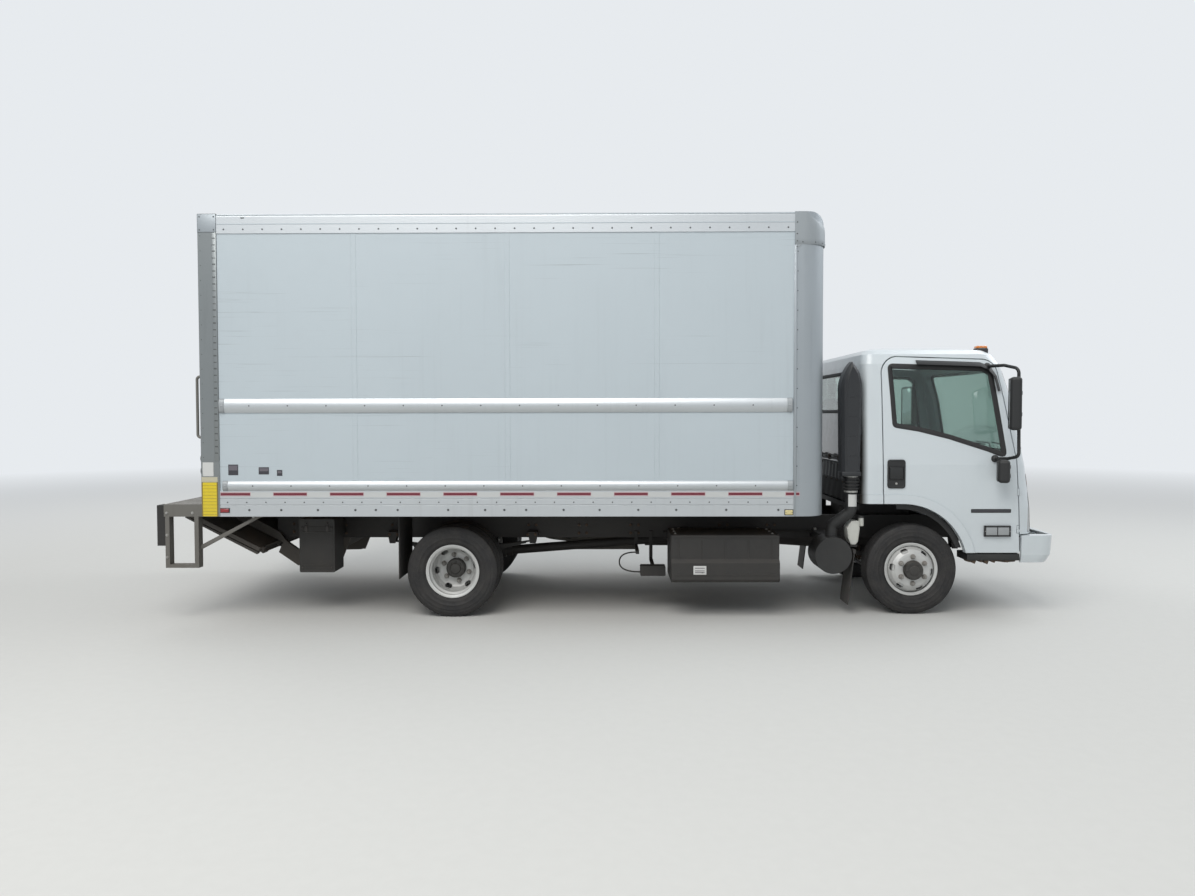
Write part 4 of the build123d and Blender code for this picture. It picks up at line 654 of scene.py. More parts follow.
def addTube(bm, points, radius, steps=12, mark=0, closed=False):
    # a round bar through the given places (Vectors in metres), its turns kept square to the path
    count = len(points)
    rings = []
    normal = None
    for n, place in enumerate(points):
        before = points[n - 1] if n or closed else place
        after = points[(n + 1) % count] if n < count - 1 or closed else place
        ahead = (after - before).normalized()
        if normal is None:
            normal = ahead.orthogonal().normalized()
        normal = (normal - ahead * normal.dot(ahead)).normalized()
        other = ahead.cross(normal)
        rings.append([bm.verts.new(place + (normal * cos(a) + other * sin(a)) * radius / 1000) for a in turns(steps)])
    bridge(bm, rings + rings[:1] if closed else rings, mark, True)
    if not closed:
        bm.faces.new(rings[0][::-1]).material_index = mark
        bm.faces.new(rings[-1]).material_index = mark


def smoothPath(points, radius, steps=5):
    # straight runs through the points with rounded corners, as Vectors
    result = [points[0]]
    for before, corner, after in zip(points, points[1:], points[2:]):
        back, on = before - corner, after - corner
        cut = min(radius / 1000, back.length * 0.48, on.length * 0.48)
        start, end = corner + back.normalized() * cut, corner + on.normalized() * cut
        for step in range(steps + 1):
            t = step / steps
            result.append(start.lerp(corner, t).lerp(corner.lerp(end, t), t))
    result.append(points[-1])
    return result


def addRivet(bm, place, outward, radius=5.0, height=2.6, steps=8, mark=0):
    addTurned(bm, [(radius, -0.5), (radius, height * 0.25), (radius * 0.72, height * 0.8), (0, height)],
              place, outward, steps, mark)


def addBolt(bm, place, outward, width=14.0, height=8.0, washer=1.5, mark=0, start=0.0):
    # a hexagon head on its washer
    addTurned(bm, [(width * 0.78, -0.5), (width * 0.78, washer), (width * 0.45, washer)], place, outward, 14, mark)
    radius = width / sqrt(3)
    addTurned(bm, [(radius, washer), (radius, height - 1.2), (radius * 0.86, height), (0, height)],
              place, outward, 6, mark, start)


def bothSides(build):
    # build(side) for the kerb side (-1) and the road side (+1)
    for side in (-1, 1):
        build(side)


# Tyres: ribbed tread with zigzag grooves, notched shoulders, moulded rings on the side wall

tyrePlan = {
    "turns": 216, "treadRadius": 376.0, "crown": 3.0, "grooves": (-50.0, -17.0, 17.0, 50.0), "grooveHalf": 4.5,
    "grooveDepth": 11.0, "zigzag": 3.2, "zigzagStep": 6, "notchEvery": 3, "notchDepth": 6.0, "sipeDepth": 2.0,
    "wall": [(371.0, 88.0), (366.0, 93.5), (356.0, 98.5), (344.0, 102.0), (341.0, 104.0), (337.0, 104.2),
             (333.0, 103.4), (318.0, 106.2), (316.0, 107.3), (313.0, 107.3), (311.0, 106.6), (298.0, 107.2),
             (284.0, 106.0), (282.0, 107.0), (279.0, 106.8), (277.0, 105.0), (262.0, 102.0), (252.0, 99.0),
             (249.0, 99.6), (244.0, 97.4), (236.0, 92.0), (229.0, 85.5), (224.0, 83.0), (222.5, 78.6), (206.0, 72.0),
             (206.0, 60.0)],
}


def tyreColumns(plan):
    # (y, drop, kind) from one shoulder to the other
    columns = [(-86.0, 1.6, "edge"), (-80.0, 0.0, "notch"), (-66.0, 0.0, "notch"), (-60.0, 0.0, "rib")]
    for middle in plan["grooves"]:
        half = plan["grooveHalf"]
        columns += [(middle - half - 1.2, 0.0, "rib"), (middle - half, 0.0, "zig"), (middle - half + 1.4, 1.0, "zig"),
                    (middle + half - 1.4, 1.0, "zig"), (middle + half, 0.0, "zig"), (middle + half + 1.2, 0.0, "rib")]
        if middle != plan["grooves"][-1]:
            columns.append((middle + 16.0, 0.0, "sipe"))
    columns += [(60.0, 0.0, "rib"), (66.0, 0.0, "notch"), (80.0, 0.0, "notch"), (86.0, 1.6, "edge")]
    return columns


def addTyre(bm, plan, middle):
    # middle is the tyre's centre
    wall = plan["wall"]
    columns = tyreColumns(plan)
    rings = []
    for n, angle in enumerate(turns(plan["turns"])):
        notch = n % plan["notchEvery"] == 0
        swing = abs((n % plan["zigzagStep"]) / (plan["zigzagStep"] / 2) - 1) * 2 - 1
        ring = [(radius, -y) for radius, y in reversed(wall)]
        for y, drop, kind in columns:
            radius = plan["treadRadius"] - plan["crown"] * (y / 86.0) ** 2
            if kind == "zig":
                y += swing * plan["zigzag"]
                radius -= drop * plan["grooveDepth"]
            elif kind == "notch" and notch:
                radius -= plan["notchDepth"]
            elif kind == "edge":
                radius -= drop + (plan["notchDepth"] if notch else 0.0)
            elif kind == "sipe" and notch:
                radius -= plan["sipeDepth"]
            ring.append((radius, y))
        ring += wall
        rings.append([bm.verts.new(middle + Vector((cos(angle) * r, y, sin(angle) * r)) / 1000) for r, y in ring])
    bridge(bm, rings + rings[:1])


wheelPlaces = {"axle": 376.0, "frontY": 832.5, "rearX": -3810.0, "outerY": 952.0, "innerY": 698.0}
twins = (wheelPlaces["outerY"], wheelPlaces["innerY"])
for sign, side in handOf.items():
    for name, body, x, across in (
            (f"front_tyre_{side}", f"front_wheel_{side}", 0, (wheelPlaces["frontY"],)),
            (f"rear_tyres_{side}", f"rear_wheels_{side}", wheelPlaces["rearX"], twins)):
        bm = bmesh.new()
        for y in across:
            addTyre(bm, tyrePlan, at(x, sign * y, wheelPlaces["axle"]))
        piece = pieceFrom(bm, f"treaded_{name}", "tyreRubber", body, 50)
        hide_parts(name)
print("tyres done")

# Wheel nuts, hub caps and hub flanges
hubPlan = {
    "circle": 111.1, "nuts": 6, "nutHeight": 24.0, "studRadius": 9.0, "studProud": 38.0, "first": 30.0,
    "frontCap": 70.0, "frontFace": 959.5, "capBolts": (6, 59.5), "rearDepth": 127.0, "flangeBolts": (8, 56.0),
}


def addNuts(bm, center, outward, plan, turn=0.0):
    top, stud, proud = plan["nutHeight"], plan["studRadius"], plan["studProud"]
    for number in range(plan["nuts"]):
        a = radians(plan["first"] + turn + number * 360 / plan["nuts"])
        place = center + Vector((cos(a), 0, sin(a))) * plan["circle"] / 1000
        addTurned(bm, [(22.0, -0.3), (22.0, 3.0), (17.0, 5.0)], place, outward, 16)
        addTurned(bm, [(19.0, 3.0), (19.0, top - 4), (15.5, top), (stud, top), (stud, proud), (stud - 2, proud + 2),
                       (0, proud + 2)], place, outward, 6, 0, a)


for sign, side in handOf.items():
    outward = (0, sign, 0)
    face = at(0, sign * hubPlan["frontFace"], wheelPlaces["axle"])
    bm = bmesh.new()
    addNuts(bm, face, outward, hubPlan)
    pieceFrom(bm, f"front_wheel_nuts_{side}", "nutSteel", f"front_wheel_{side}")
    bm = bmesh.new()
    cap = hubPlan["frontCap"]
    addTurned(bm, [(81, 0.5), (81, 10), (78.5, 14), (78.5, 30), (cap + 6, 34), (cap + 2, 43.5), (cap - 6, 44.5),
                   (cap - 12, 43), (cap - 30, 43), (cap - 33, 46.5), (22, 47.5), (0, 47.5)], face, outward, 40)
    count, circle = hubPlan["capBolts"]
    for number in range(count):
        a = radians(number * 360 / count)
        addBolt(bm, face + Vector((cos(a) * circle, sign * 43.5, sin(a) * circle)) / 1000, outward, 12, 7)
    pieceFrom(bm, f"front_hub_cap_{side}", "hubBlack", f"front_wheel_{side}")
    inner = at(wheelPlaces["rearX"], sign * (wheelPlaces["innerY"] + hubPlan["rearDepth"]), wheelPlaces["axle"])
    bm = bmesh.new()
    addNuts(bm, inner + Vector((0, sign * 0.009, 0)), outward, hubPlan, 11.0)
    pieceFrom(bm, f"rear_wheel_nuts_{side}", "nutSteel", f"rear_wheels_{side}")
    bm = bmesh.new()
    addTurned(bm, [(82, 9.2), (82, 40), (79, 52), (79, 60), (76, 68), (66, 71.5), (46, 71.5), (40, 80), (12, 83),
                   (0, 83)], inner, outward, 40)
    count, circle = hubPlan["flangeBolts"]
    for number in range(count):
        a = radians(number * 360 / count)
        addBolt(bm, inner + Vector((cos(a) * circle, sign * 71.2, sin(a) * circle)) / 1000, outward, 15, 9)
    pieceFrom(bm, f"rear_hub_flange_{side}", "hubBlack", f"rear_wheels_{side}")
print("wheels done")

# Load box, sides: rivets and bolts in the rails, lap strips over the panel seams
boxPlan = {
    "half": 1220.0, "rear": -5650.0, "front": -1041.0, "rivetPitch": 155.0, "rivetZ": 967.0, "boltZ": 905.0,
    "topRivetZ": 3150.0, "ribsZ": (3192.0, 3262.0), "seams": (-4555.0, -3328.0, -2134.0), "seamHalf": 20.0,
    "wall": 1214.0, "bolts": (-5415, -5157, -4861, -4558, -4393, -4217, -3810, -3513, -3358, -3183, -2882, -2593,
                              -2283, -1979, -1579, -1163),
}


flank = boxPlan["half"]    # the outer face of the rails and posts


def onFlank(side, low, high):
    # a (low, high) pair across the truck, measured from that face
    return wide(side, flank + low, flank + high)


def buildBoxRivets(side):
    plan = boxPlan
    out = (0, side, 0)
    place = wallOf[side]
    bm = bmesh.new()
    # the rail rivets and bolts take the dark finish: painted shade round their heads
    for x in pitched(plan["rear"] + 60, plan["front"] - 20, plan["rivetPitch"]):
        addRivet(bm, at(x, side * flank, plan["rivetZ"]), out, 6.0, 3.0)
        addRivet(bm, at(x, side * flank, plan["topRivetZ"]), out, 7.5, 3.2)
    for number, x in enumerate(plan["bolts"]):
        addBolt(bm, at(x, side * flank, plan["boltZ"]), out, 12, 7, 1.5, 0, number)
    pieceFrom(bm, f"rail_rivets_{place}", "rivetDark")
    bm = bmesh.new()
    skin = wide(side, plan["wall"], plan["wall"] + 1.2)
    for x in plan["seams"]:
        across = (x - plan["seamHalf"], x + plan["seamHalf"])
        addBlock(bm, across, skin, (1140, 1687), 0.4, 1)
        addBlock(bm, across, skin, (1800, 3117), 0.4, 1)
        for z in range(1190, 3110, 102):
            if not 1660 < z < 1830:
                for dx in (-12, 12):
                    addRivet(bm, at(x + dx, side * (plan["wall"] + 1.0), z), out, 3.4, 1.1, 6)
    for z in plan["ribsZ"]:
        addBlock(bm, (plan["rear"] + 4, plan["front"] - 2), onFlank(side, -1.0, 2.6), (z - 3, z + 3), 1.4, 2)
    pieceFrom(bm, f"seam_strips_{place}", "boxWhite")


bothSides(buildBoxRivets)


# Corner posts, end caps of the rub rails, cast corners
postPlan = {
    "seam": -1033.0, "seamWidth": 26.0, "rivets": -1018.0, "pitch": 155.0, "rearRivets": (-5662, -5780),
    "rearPitch": 118.0, "rubProud": 20.5, "rubPitch": 310.0,
    "rubs": ((1687, 1800, -5640.0, -1061.0), (1060.3, 1140, -5619.0, -1055.0)),
}


def buildPosts(side):
    plan = postPlan
    out = (0, side, 0)
    place = wallOf[side]
    bm = bmesh.new()
    low = plan["seam"] - plan["seamWidth"] / 2
    addBlock(bm, (low, low + plan["seamWidth"]), onFlank(side, -7, 2.5), (1062, 3012), 1.0)
    addBlock(bm, (plan["seam"] - 6, plan["seam"] + 10), onFlank(side, -1, 4.5), (856, 3012), 1.5)
    for z in pitched(1100.0, 3000, plan["pitch"]):
        addRivet(bm, at(plan["rivets"], side * (flank + 0.4), z), out, 5.5, 3.0, 8, 1)
    for x in plan["rearRivets"]:
        for z in pitched(1330.0, 3120, plan["rearPitch"]):
            addRivet(bm, at(x, side * flank, z), out, 4.0, 2.0, 6, 1)
    addBlock(bm, (-5690, -5652), onFlank(side, -0.5, 3), (1300, 3125), 1.0, 2, 2)
    for z in range(1360, 3100, 52):
        addBlock(bm, (-5684, -5660), onFlank(side, 2.6, 3.4), (z, z + 7 + z % 7), 0.3, 1, 1)
    addBlock(bm, (-5800, -5650), onFlank(side, -0.5, 4), (3128, 3272), 4.0, 3)
    for x, z in ((-5782, 3146), (-5668, 3146), (-5782, 3250), (-5668, 3250)):
        addRivet(bm, at(x, side * (flank + 3.6), z), out, 6.0, 3.0, 8, 1)
    addBlock(bm, (-5452, -5424), onFlank(side, -0.5, 3.2), (3236, 3245), 2.0, 2, 1)
    pieceFrom(bm, f"post_seams_{place}", ["postAluminium", "rivetDark", "postSteel"])
    bm = bmesh.new()
    base = boxPlan["wall"]
    steps = 12
    for low, high, rear, front in plan["rubs"]:
        middle, half = (low + high) / 2, (high - low) / 2
        for x, way in ((rear, 1), (front, -1)):
            turn = [pi * n / steps for n in range(steps + 1)]
            section = [(middle - half * 1.02 * cos(a), 6.0 + plan["rubProud"] * sin(a)) for a in turn]
            rows = [[bm.verts.new(at(x + way * along, side * (base + p * thick), middle + (z - middle) * tall))
                     for z, p in section] for along, thick, tall in ((-9, 0.55, 0.8), (-3, 1.0, 1.0), (36, 1.0, 1.0))]
            bridge(bm, rows)
            bm.faces.new(rows[0])
            addRivet(bm, at(x + way * 18, side * (base + 6 + plan["rubProud"]), middle), out, 7.0, 3.0, 8)
        for x in pitched(rear + 240, front - 120, plan["rubPitch"]):
            addRivet(bm, at(x, side * (base + 24), middle), out, 6.0, 2.0, 8, 1)
    pieceFrom(bm, f"rub_rail_ends_{place}", ["endCap", "rivetDark"])


bothSides(buildPosts)

# The cast corner wraps the box's rounded upper corner, a little outside it, and has a lapped flange at its foot
castPlan = {"middle": (-958.0, 1030.0), "radius": 190.0, "topRadius": 145.0, "top": 3275.0, "proud": 3.0,
            "levels": (3015, 3019, 3060, 3130, 3165, 3195, 3220, 3240, 3256, 3268, 3274.5)}


def castRow(plan, z, proud):
    drop = 0.0
    over = z - (plan["top"] - plan["topRadius"])
    if over > 0:
        t = min(over / plan["topRadius"], 1.0)
        drop = plan["topRadius"] * (1 - sqrt(1 - t * t))
    middleX, middleY = plan["middle"]
    row = [(-1040.0, flank + proud), (middleX, flank + proud)]
    reach = plan["radius"] + proud
    steps = 16
    for n in range(1, steps + 1):
        a = radians(89 * n / steps)
        row.append((middleX + reach * sin(a) - drop * sin(a), middleY + reach * cos(a)))
    row.append((-768.0 + proud - drop, 900.0))
    return row


def buildTopCorner(side):
    plan = castPlan
    place = wallOf[side]
    bm = bmesh.new()
    rows = [[bm.verts.new(at(x, side * y, z)) for x, y in castRow(plan, z, plan["proud"] if n else 0.3)]
            for n, z in enumerate(plan["levels"])]
    bridge(bm, rows)
    addPrism(bm, [(-1040, 3015), (-985, 3015), (-1040, 2962)], *onFlank(side, -0.5, 2.8), 0.8, 0, 1)
    for x, z in ((-1024, 3042), (-1024, 3100), (-1024, 3190), (-980, 3034), (-1026, 2996)):
        addRivet(bm, at(x, side * (flank + 2.9), z), (0, side, 0), 6.0, 3.2, 8, 1)
    reach = plan["radius"] + plan["proud"]
    for degree in (25, 50, 75):
        a = radians(degree)
        spot = at(plan["middle"][0] + reach * sin(a), side * (plan["middle"][1] + reach * cos(a)), 3034)
        addRivet(bm, spot, (sin(a), side * cos(a), 0), 5.5, 3.0, 8, 1)
    pieceFrom(bm, f"corner_cast_{place}", ["castCorner", "rivetDark"])


bothSides(buildTopCorner)
print("box trim done")

# Reflective tape, stickers and the lamps of the box
tapePlan = {"z": (1004.0, 1052.0), "redZ": (1023.0, 1043.0), "pitch": 457.0, "red": 268.0, "first": -5217.0,
            "proud": 0.7, "rear": -5645.0, "end": -996.0, "seam": -1046.0}


def buildTape(side):
    plan = tapePlan
    place = wallOf[side]
    bm = bmesh.new()
    under = onFlank(side, 0, plan["proud"])
    over = onFlank(side, 0.2, 0.6 + plan["proud"])
    for start in pitched(plan["first"] - plan["pitch"], plan["end"] - 20, plan["pitch"]):
        x0, x1 = max(start, plan["rear"]), min(start + plan["red"], plan["end"])
        addBlock(bm, (x0, x1), over, plan["redZ"], 0.3, 1, 0)
        addBlock(bm, (x0 - 4, x1 + 4), under, (plan["redZ"][0] - 7, plan["redZ"][1] + 7), 0.3, 1, 1)
        gap0, gap1 = x1 + 4, min(start + plan["pitch"] - 4, plan["seam"])
        if gap1 > gap0:
            addBlock(bm, (gap0, gap1), under, (plan["z"][0] + 4, plan["z"][1] - 4), 0.3, 1, 2)
    pieceFrom(bm, f"reflective_tape_{place}", ["tapeRed", "tapePink", "tapeWhite"])
    bm = bmesh.new()
    flat = onFlank(side, 0, 1.0)
    addBlock(bm, (-5799, -5666), flat, (854, 1128), 0.4, 1, 0)
    for x in (-5799, -5676):
        addBlock(bm, (x, x + 10), onFlank(side, 0.2, 1.8), (854, 1128), 0.4, 1, 1)
    for z in range(868, 1120, 26):
        addBlock(bm, (-5788, -5677), onFlank(side, 0.5, 1.6), (z, z + 2), 0.2, 1, 1)
    addBlock(bm, (-5797, -5668), flat, (1132, 1172), 0.4, 1, 2)
    addBlock(bm, (-5788, -5700), flat, (1178, 1290), 0.4, 1, 3)
    pieceFrom(bm, f"post_strip_{place}", ["tapeYellow", "tapeEdge", "tapeBeige", "stickerWhite"])


bothSides(buildTape)


def buildStickers():
    # small plain stickers on the kerb side's rear panel
    base = boxPlan["wall"]
    bm = bmesh.new()
    for x0, x1, z0, z1 in ((-5583, -5503, 1186, 1272), (-5337, -5254, 1192, 1250), (-5190, -5146, 1180, 1228)):
        addBlock(bm, (x0, x1), wide(-1, base - 0.2, base + 1.3), (z0, z1), 0.3, 1, 0)
        addBlock(bm, (x0 + 6, x1 - 6), wide(-1, base, base + 1.8), (z0 + (z1 - z0) * 0.45, z1 - 8), 0.2, 1, 1)
    pieceFrom(bm, "plain_stickers", ["stickerDark", "stickerGrey"])


buildStickers()

lampPlan = {"rearFace": -5800.0, "header": (-1150, -160, 0, 160, 1150), "tailY": 1170, "tailZ": (1320, 1220),
            "tailRadius": 38.0}


def buildBoxLamps(plan):
    # side markers, header lamps and round tail lamps, with lenses, rims and screws
    face, rim, back = plan["rearFace"], plan["tailRadius"], (-1, 0, 0)
    bm = bmesh.new()
    for side in (-1, 1):
        out = (0, side, 0)
        for x0, x1, z0, z1, mark in ((-5651, -5572, 882, 922, 0), (-1115, -1044, 862, 909, 1)):
            addBlock(bm, (x0, x1), onFlank(side, 0, 4.5), (z0, z1), 2.0, 2, 2)
            addBlock(bm, (x0 + 5, x1 - 5), onFlank(side, 4, 14), (z0 + 5, z1 - 5), 5.0, 3, mark)
            for x in (x0 + 11, x1 - 11):
                addRivet(bm, at(x, side * (flank + 13.8), (z0 + z1) / 2), out, 3.0, 1.4, 6, 2)
        for z in plan["tailZ"]:
            center = at(face, side * plan["tailY"], z)
            addTurned(bm, [(rim, 0), (rim, 9), (rim - 3, 12), (rim - 6, 12), (rim - 6, 9)], center, back, 28, 2)
            addTurned(bm, [(rim - 6, 8), (rim - 6, 13), (rim - 10, 15.5), (rim - 22, 16.5), (0, 17)],
                      center, back, 28)
    for y in plan["header"]:
        addBlock(bm, (face - 5, face), (y - 47, y + 47), (3177, 3218), 2.0, 2, 2)
        addBlock(bm, (face - 14, face - 4), (y - 42, y + 42), (3182, 3213), 5.0, 3, 0)
    piece = pieceFrom(bm, "box_lamp_set", ["redLens", "markerLens", "lampBase"])
    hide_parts("box_lamps")


buildBoxLamps(lampPlan)
print("tape and lamps done")

# Trim is seated on the cab's own surface: a look-up shoots from outside and gives the place and its outward normal

def surfaceOf(*names):
    places, faces = [], []
    for name in names:
        mesh = nodes[name].data
        start = len(places)
        places += [vertex.co.copy() for vertex in mesh.vertices]
        faces += [[start + index for index in face.vertices] for face in mesh.polygons]
    return BVHTree.FromPolygons(places, faces)


def lookAt(tree, direction, spread):
    # direction the look travels in; spread turns an outline's pair into a start, in millimetres
    way = Vector(direction)

    def find(a, b):
        place, normal = tree.ray_cast(at(*spread(a, b)), way)[:2]
        if place is None:
            return None
        return place, normal if normal.dot(way) < 0 else -normal
    return find


def fromSide(tree, side):
    return lookAt(tree, (0, -side, 0), lambda x, z: (x, side * 2200, z))


def fromFront(tree):
    return lookAt(tree, (-1, 0, 0), lambda y, z: (2400, y, z))


def fromBack(tree):
    return lookAt(tree, (1, 0, 0), lambda y, z: (-650, y, z))


def fromBehind(name):
    # from behind the whole truck
    return lookAt(surfaceOf(name), (1, 0, 0), lambda y, z: (-7000, y, z))


def fromAbove(tree):
    return lookAt(tree, (0, 0, -1), lambda x, y: (x, y, 2900))


def refined(points, step=70.0, closed=True):
    result = []
    count = len(points)
    for n in range(count if closed else count - 1):
        a, b = Vector(points[n]), Vector(points[(n + 1) % count])
        parts = max(1, int((b - a).length / step))
        result += [tuple(a.lerp(b, k / parts)) for k in range(parts)]
    return result if closed else result + [tuple(points[-1])]


def grown(points, distance, closed=True):
    # the outline moved outward (to its left side, seen along an open path)
    count = len(points)
    area = sum(points[n - 1][0] * points[n][1] - points[n][0] * points[n - 1][1] for n in range(count))
    sign = (1 if area > 0 else -1) if closed else -1
    result = []
    for n in range(count):
        before = points[n - 1] if closed or n else points[n]
        after = points[(n + 1) % count] if closed or n < count - 1 else points[n]
        along = (Vector(after) - Vector(before)).normalized()
        result.append((points[n][0] + along.y * sign * distance, points[n][1] - along.x * sign * distance))
    return result


def addBand(bm, find, points, rings, base, plane, closed=True, mark=0):
    # rings: (offset in the outline's plane, height over the surface); base is the offset where the surface is read
    spots = [find(*pair) for pair in grown(points, base, closed)]
    a, b = plane
    ray = 3 - a - b
    rows = []
    for offset, height in rings:
        row = []
        for spot, start, goal in zip(spots, grown(points, base, closed), grown(points, offset, closed)):
            if spot is None:
                row.append(None)
                continue
            place, normal = spot
            move = Vector((0, 0, 0))
            move[a], move[b] = (goal[0] - start[0]) / 1000, (goal[1] - start[1]) / 1000
            move[ray] = -normal.dot(move) / normal[ray]
            row.append(bm.verts.new(place + move + normal * height / 1000))
        rows.append(row)
    count = len(points)
    for first, second in zip(rows, rows[1:]):
        for n in range(count if closed else count - 1):
            corners = (first[n], first[(n + 1) % count], second[(n + 1) % count], second[n])
            if None not in corners:
                bm.faces.new(corners).material_index = mark
    return rows


def addStrip(bm, find, line, foot, top, plane, mark=0):
    # a low bar along an open line; foot and top: (half width, height over the surface)
    section = [foot, top, (-top[0], top[1]), (-foot[0], foot[1])]
    addBand(bm, find, line, section, 0, plane, False, mark)


def addPatch(bm, find, points, height, plane, mark=0, edge=2.0):
    # a thin plate with a rolled edge that lies on the surface
    rows = addBand(bm, find, points, [(0, -0.6), (0, height * 0.6), (-edge, height)], -edge, plane, True, mark)
    inner = rows[-1]
    middle = sum((vert.co for vert in inner), Vector()) / len(inner)
    center = bm.verts.new(middle)
    for n, vert in enumerate(inner):
        bm.faces.new((vert, inner[(n + 1) % len(inner)], center)).material_index = mark


def softRect(a0, a1, b0, b1, radius, step=50):
    # a rectangle with round corners, as an outline
    return refined(roundedPoints([(a0, b0), (a1, b0), (a1, b1), (a0, b1)], radius, 3), step)


sidePlane, frontPlane = (0, 2), (1, 2)

# Windows: black rubber round each pane
windowPlan = {
    "door": [(-205, 2078), (570, 2052), (640, 2010), (745, 1312), (600, 1368), (280, 1472), (35, 1534), (-172, 1568)],
    "doorRadius": 34, "front": [(-860, 1335), (860, 1335), (800, 2062), (-800, 2062)], "frontRadius": 74,
    "back": [(-640, 1690), (640, 1690), (640, 2030), (-640, 2030)], "backRadius": 58,
    "rubber": [(10, -1.0), (10, 2.2), (4, 3.8), (-14, 2.6), (-30, -3.5), (-30, -9.0)],
    "visor": [(20, 2072), (300, 2063), (540, 2054), (606, 2030), (648, 1966), (672, 1850)],
    "visorSection": [(44, -1.0), (42, 3.0), (20, 22.0), (-8, 32.0), (-10, 29.0), (14, 18.0), (34, -1.0)],
}
doorSkin = {side: surfaceOf(f"door_{name}", f"door_glass_{name}") for side, name in handOf.items()}
cabSkin = surfaceOf("cab_shell", "cab_glass", "front_panel")
shellSkin = surfaceOf("cab_shell", "door_left", "door_right", "front_panel", "cab_lamps")


def buildDoorTrim(side):
    plan = windowPlan
    name = handOf[side]
    body = f"door_{name}"
    find = fromSide(doorSkin[side], side)
    bm = bmesh.new()
    points = refined(roundedPoints(plan["door"], plan["doorRadius"], 4), 90)
    addBand(bm, find, points, plan["rubber"], 14, sidePlane)
    pieceFrom(bm, f"door_window_rubber_{name}", "sealRubber", body, 50)
    bm = bmesh.new()
    addBand(bm, find, refined(plan["visor"], 60, False), plan["visorSection"], 44, sidePlane, False)
    pieceFrom(bm, f"rain_visor_{name}", "smokedPlastic", body, 40)
    bm = bmesh.new()    # belt moulding inside the pane
    addBand(bm, find, refined([(-172, 1580), (30, 1547), (275, 1486), (600, 1382), (716, 1338)], 60, False),
            [(10, -8), (10, -3), (2, -1), (-6, -4), (-6, -8)], 6, sidePlane, False)
    pieceFrom(bm, f"door_belt_seal_{name}", "sealRubber", body, 50)


bothSides(buildDoorTrim)


def buildCabWindows():
    plan = windowPlan
    bm = bmesh.new()
    front = refined(roundedPoints(plan["front"], plan["frontRadius"], 5), 70)
    addBand(bm, fromFront(cabSkin), front, [(12, -1), (12, 2.5), (4, 4.2), (-16, 3), (-22, -4), (-22, -9)], 14,
            frontPlane)
    back = refined(roundedPoints(plan["back"], plan["backRadius"], 5), 70)
    addBand(bm, fromBack(cabSkin), back, [(14, -1), (14, 3), (6, 5), (-12, 4), (-18, -3), (-18, -9)], 16, frontPlane)
    pieceFrom(bm, "windscreen_rubber", "sealRubber", "cab", 50)


buildCabWindows()

# Door: handle in its recess, key barrel, blank badge strip, side lamp
doorPlan = {
    "handle": (-226, -85, 1061, 1292), "face": 1006.0, "badge": (460, 787, 856, 887),
    "lamp": (568, 782, 661, 750), "lampFace": 1012.0,
}


def buildDoorFittings(side):
    plan = doorPlan
    name = handOf[side]
    body = f"door_{name}"
    find = fromSide(doorSkin[side], side)
    face = plan["face"]
    bm = bmesh.new()
    skin = surfaceOf(f"door_fittings_{name}", f"door_{name}")
    addBand(bm, fromSide(skin, side), softRect(*plan["handle"], 22),
            [(3, -6), (3, 1.5), (0, 3.0), (-10, 3.4), (-13, 0.6)], -18, sidePlane)
    addBlock(bm, (-216, -95), wide(side, face - 2, face + 1.2), (1072, 1281), 1.0, 1)
    addBlock(bm, (-212, -99), wide(side, face + 0.5, face + 9), (1128, 1236), 8.0, 4)
    addBlock(bm, (-205, -106), wide(side, face + 7, face + 11), (1138, 1150), 1.8, 2)
    addTurned(bm, [(9, -1), (9, 3), (7, 4), (0, 4)], at(-156, side * (face + 1), 1098), (0, side, 0), 18, 1)
    pieceFrom(bm, f"door_handle_{name}", ["glossPlastic", "nutSteel"], body)
    bm = bmesh.new()
    x0, x1, z0, z1 = plan["badge"]
    addPatch(bm, find, softRect(x0, x1, z0, z1, 5), 2.6, sidePlane)
    addStrip(bm, find, refined([(x0 + 8, (z0 + z1) / 2), (x1 - 8, (z0 + z1) / 2)], 60, False), (8, 2.4), (8, 3.4),
             sidePlane, 1)
    pieceFrom(bm, f"badge_strip_{name}", ["glossPlastic", "stickerDark"], body)
    bm = bmesh.new()
    x0, x1, z0, z1 = plan["lamp"]
    outer = plan["lampFace"]
    deep = wide(side, outer - 6, outer + 3)
    addBlock(bm, (x0 - 1, x1 + 1), deep, (z0 - 1, z0 + 13), 3.0, 2)
    addBlock(bm, (x0 - 1, x1 + 1), deep, (z1 - 13, z1 + 1), 3.0, 2)
    middle = (x0 + x1) / 2
    for low, high in ((x0 - 1, x0 + 13), (x1 - 13, x1 + 1), (middle - 4, middle + 4)):
        addBlock(bm, (low, high), deep, (z0, z1), 3.0, 2)
    for low, high in ((x0 + 12, middle - 3), (middle + 3, x1 - 12)):
        addBlock(bm, (low, high), wide(side, outer - 6, outer + 0.8), (z0 + 12, z1 - 12), 2.5, 2, 1)
    for x in (x0 + 6, x1 - 6):
        addRivet(bm, at(x, side * (outer + 2.8), (z0 + z1) / 2), (0, side, 0), 3.4, 1.4, 8, 2)
    pieceFrom(bm, f"door_side_lamp_{name}", ["glossPlastic", "headlampLens", "nutSteel"], body)


bothSides(buildDoorFittings)

# Mirrors: glass on the rear faces, rims, clamps on the rod
mirrorPlan = {"turn": 20.0, "heads": ((700, 1247, 85, 190, 1540, 1960), (663, 1137, 90, 155, 1115, 1300)),
              "clamps": ((741, 1219, 1905), (743, 1221, 1600)), "rodRadius": 13.0}


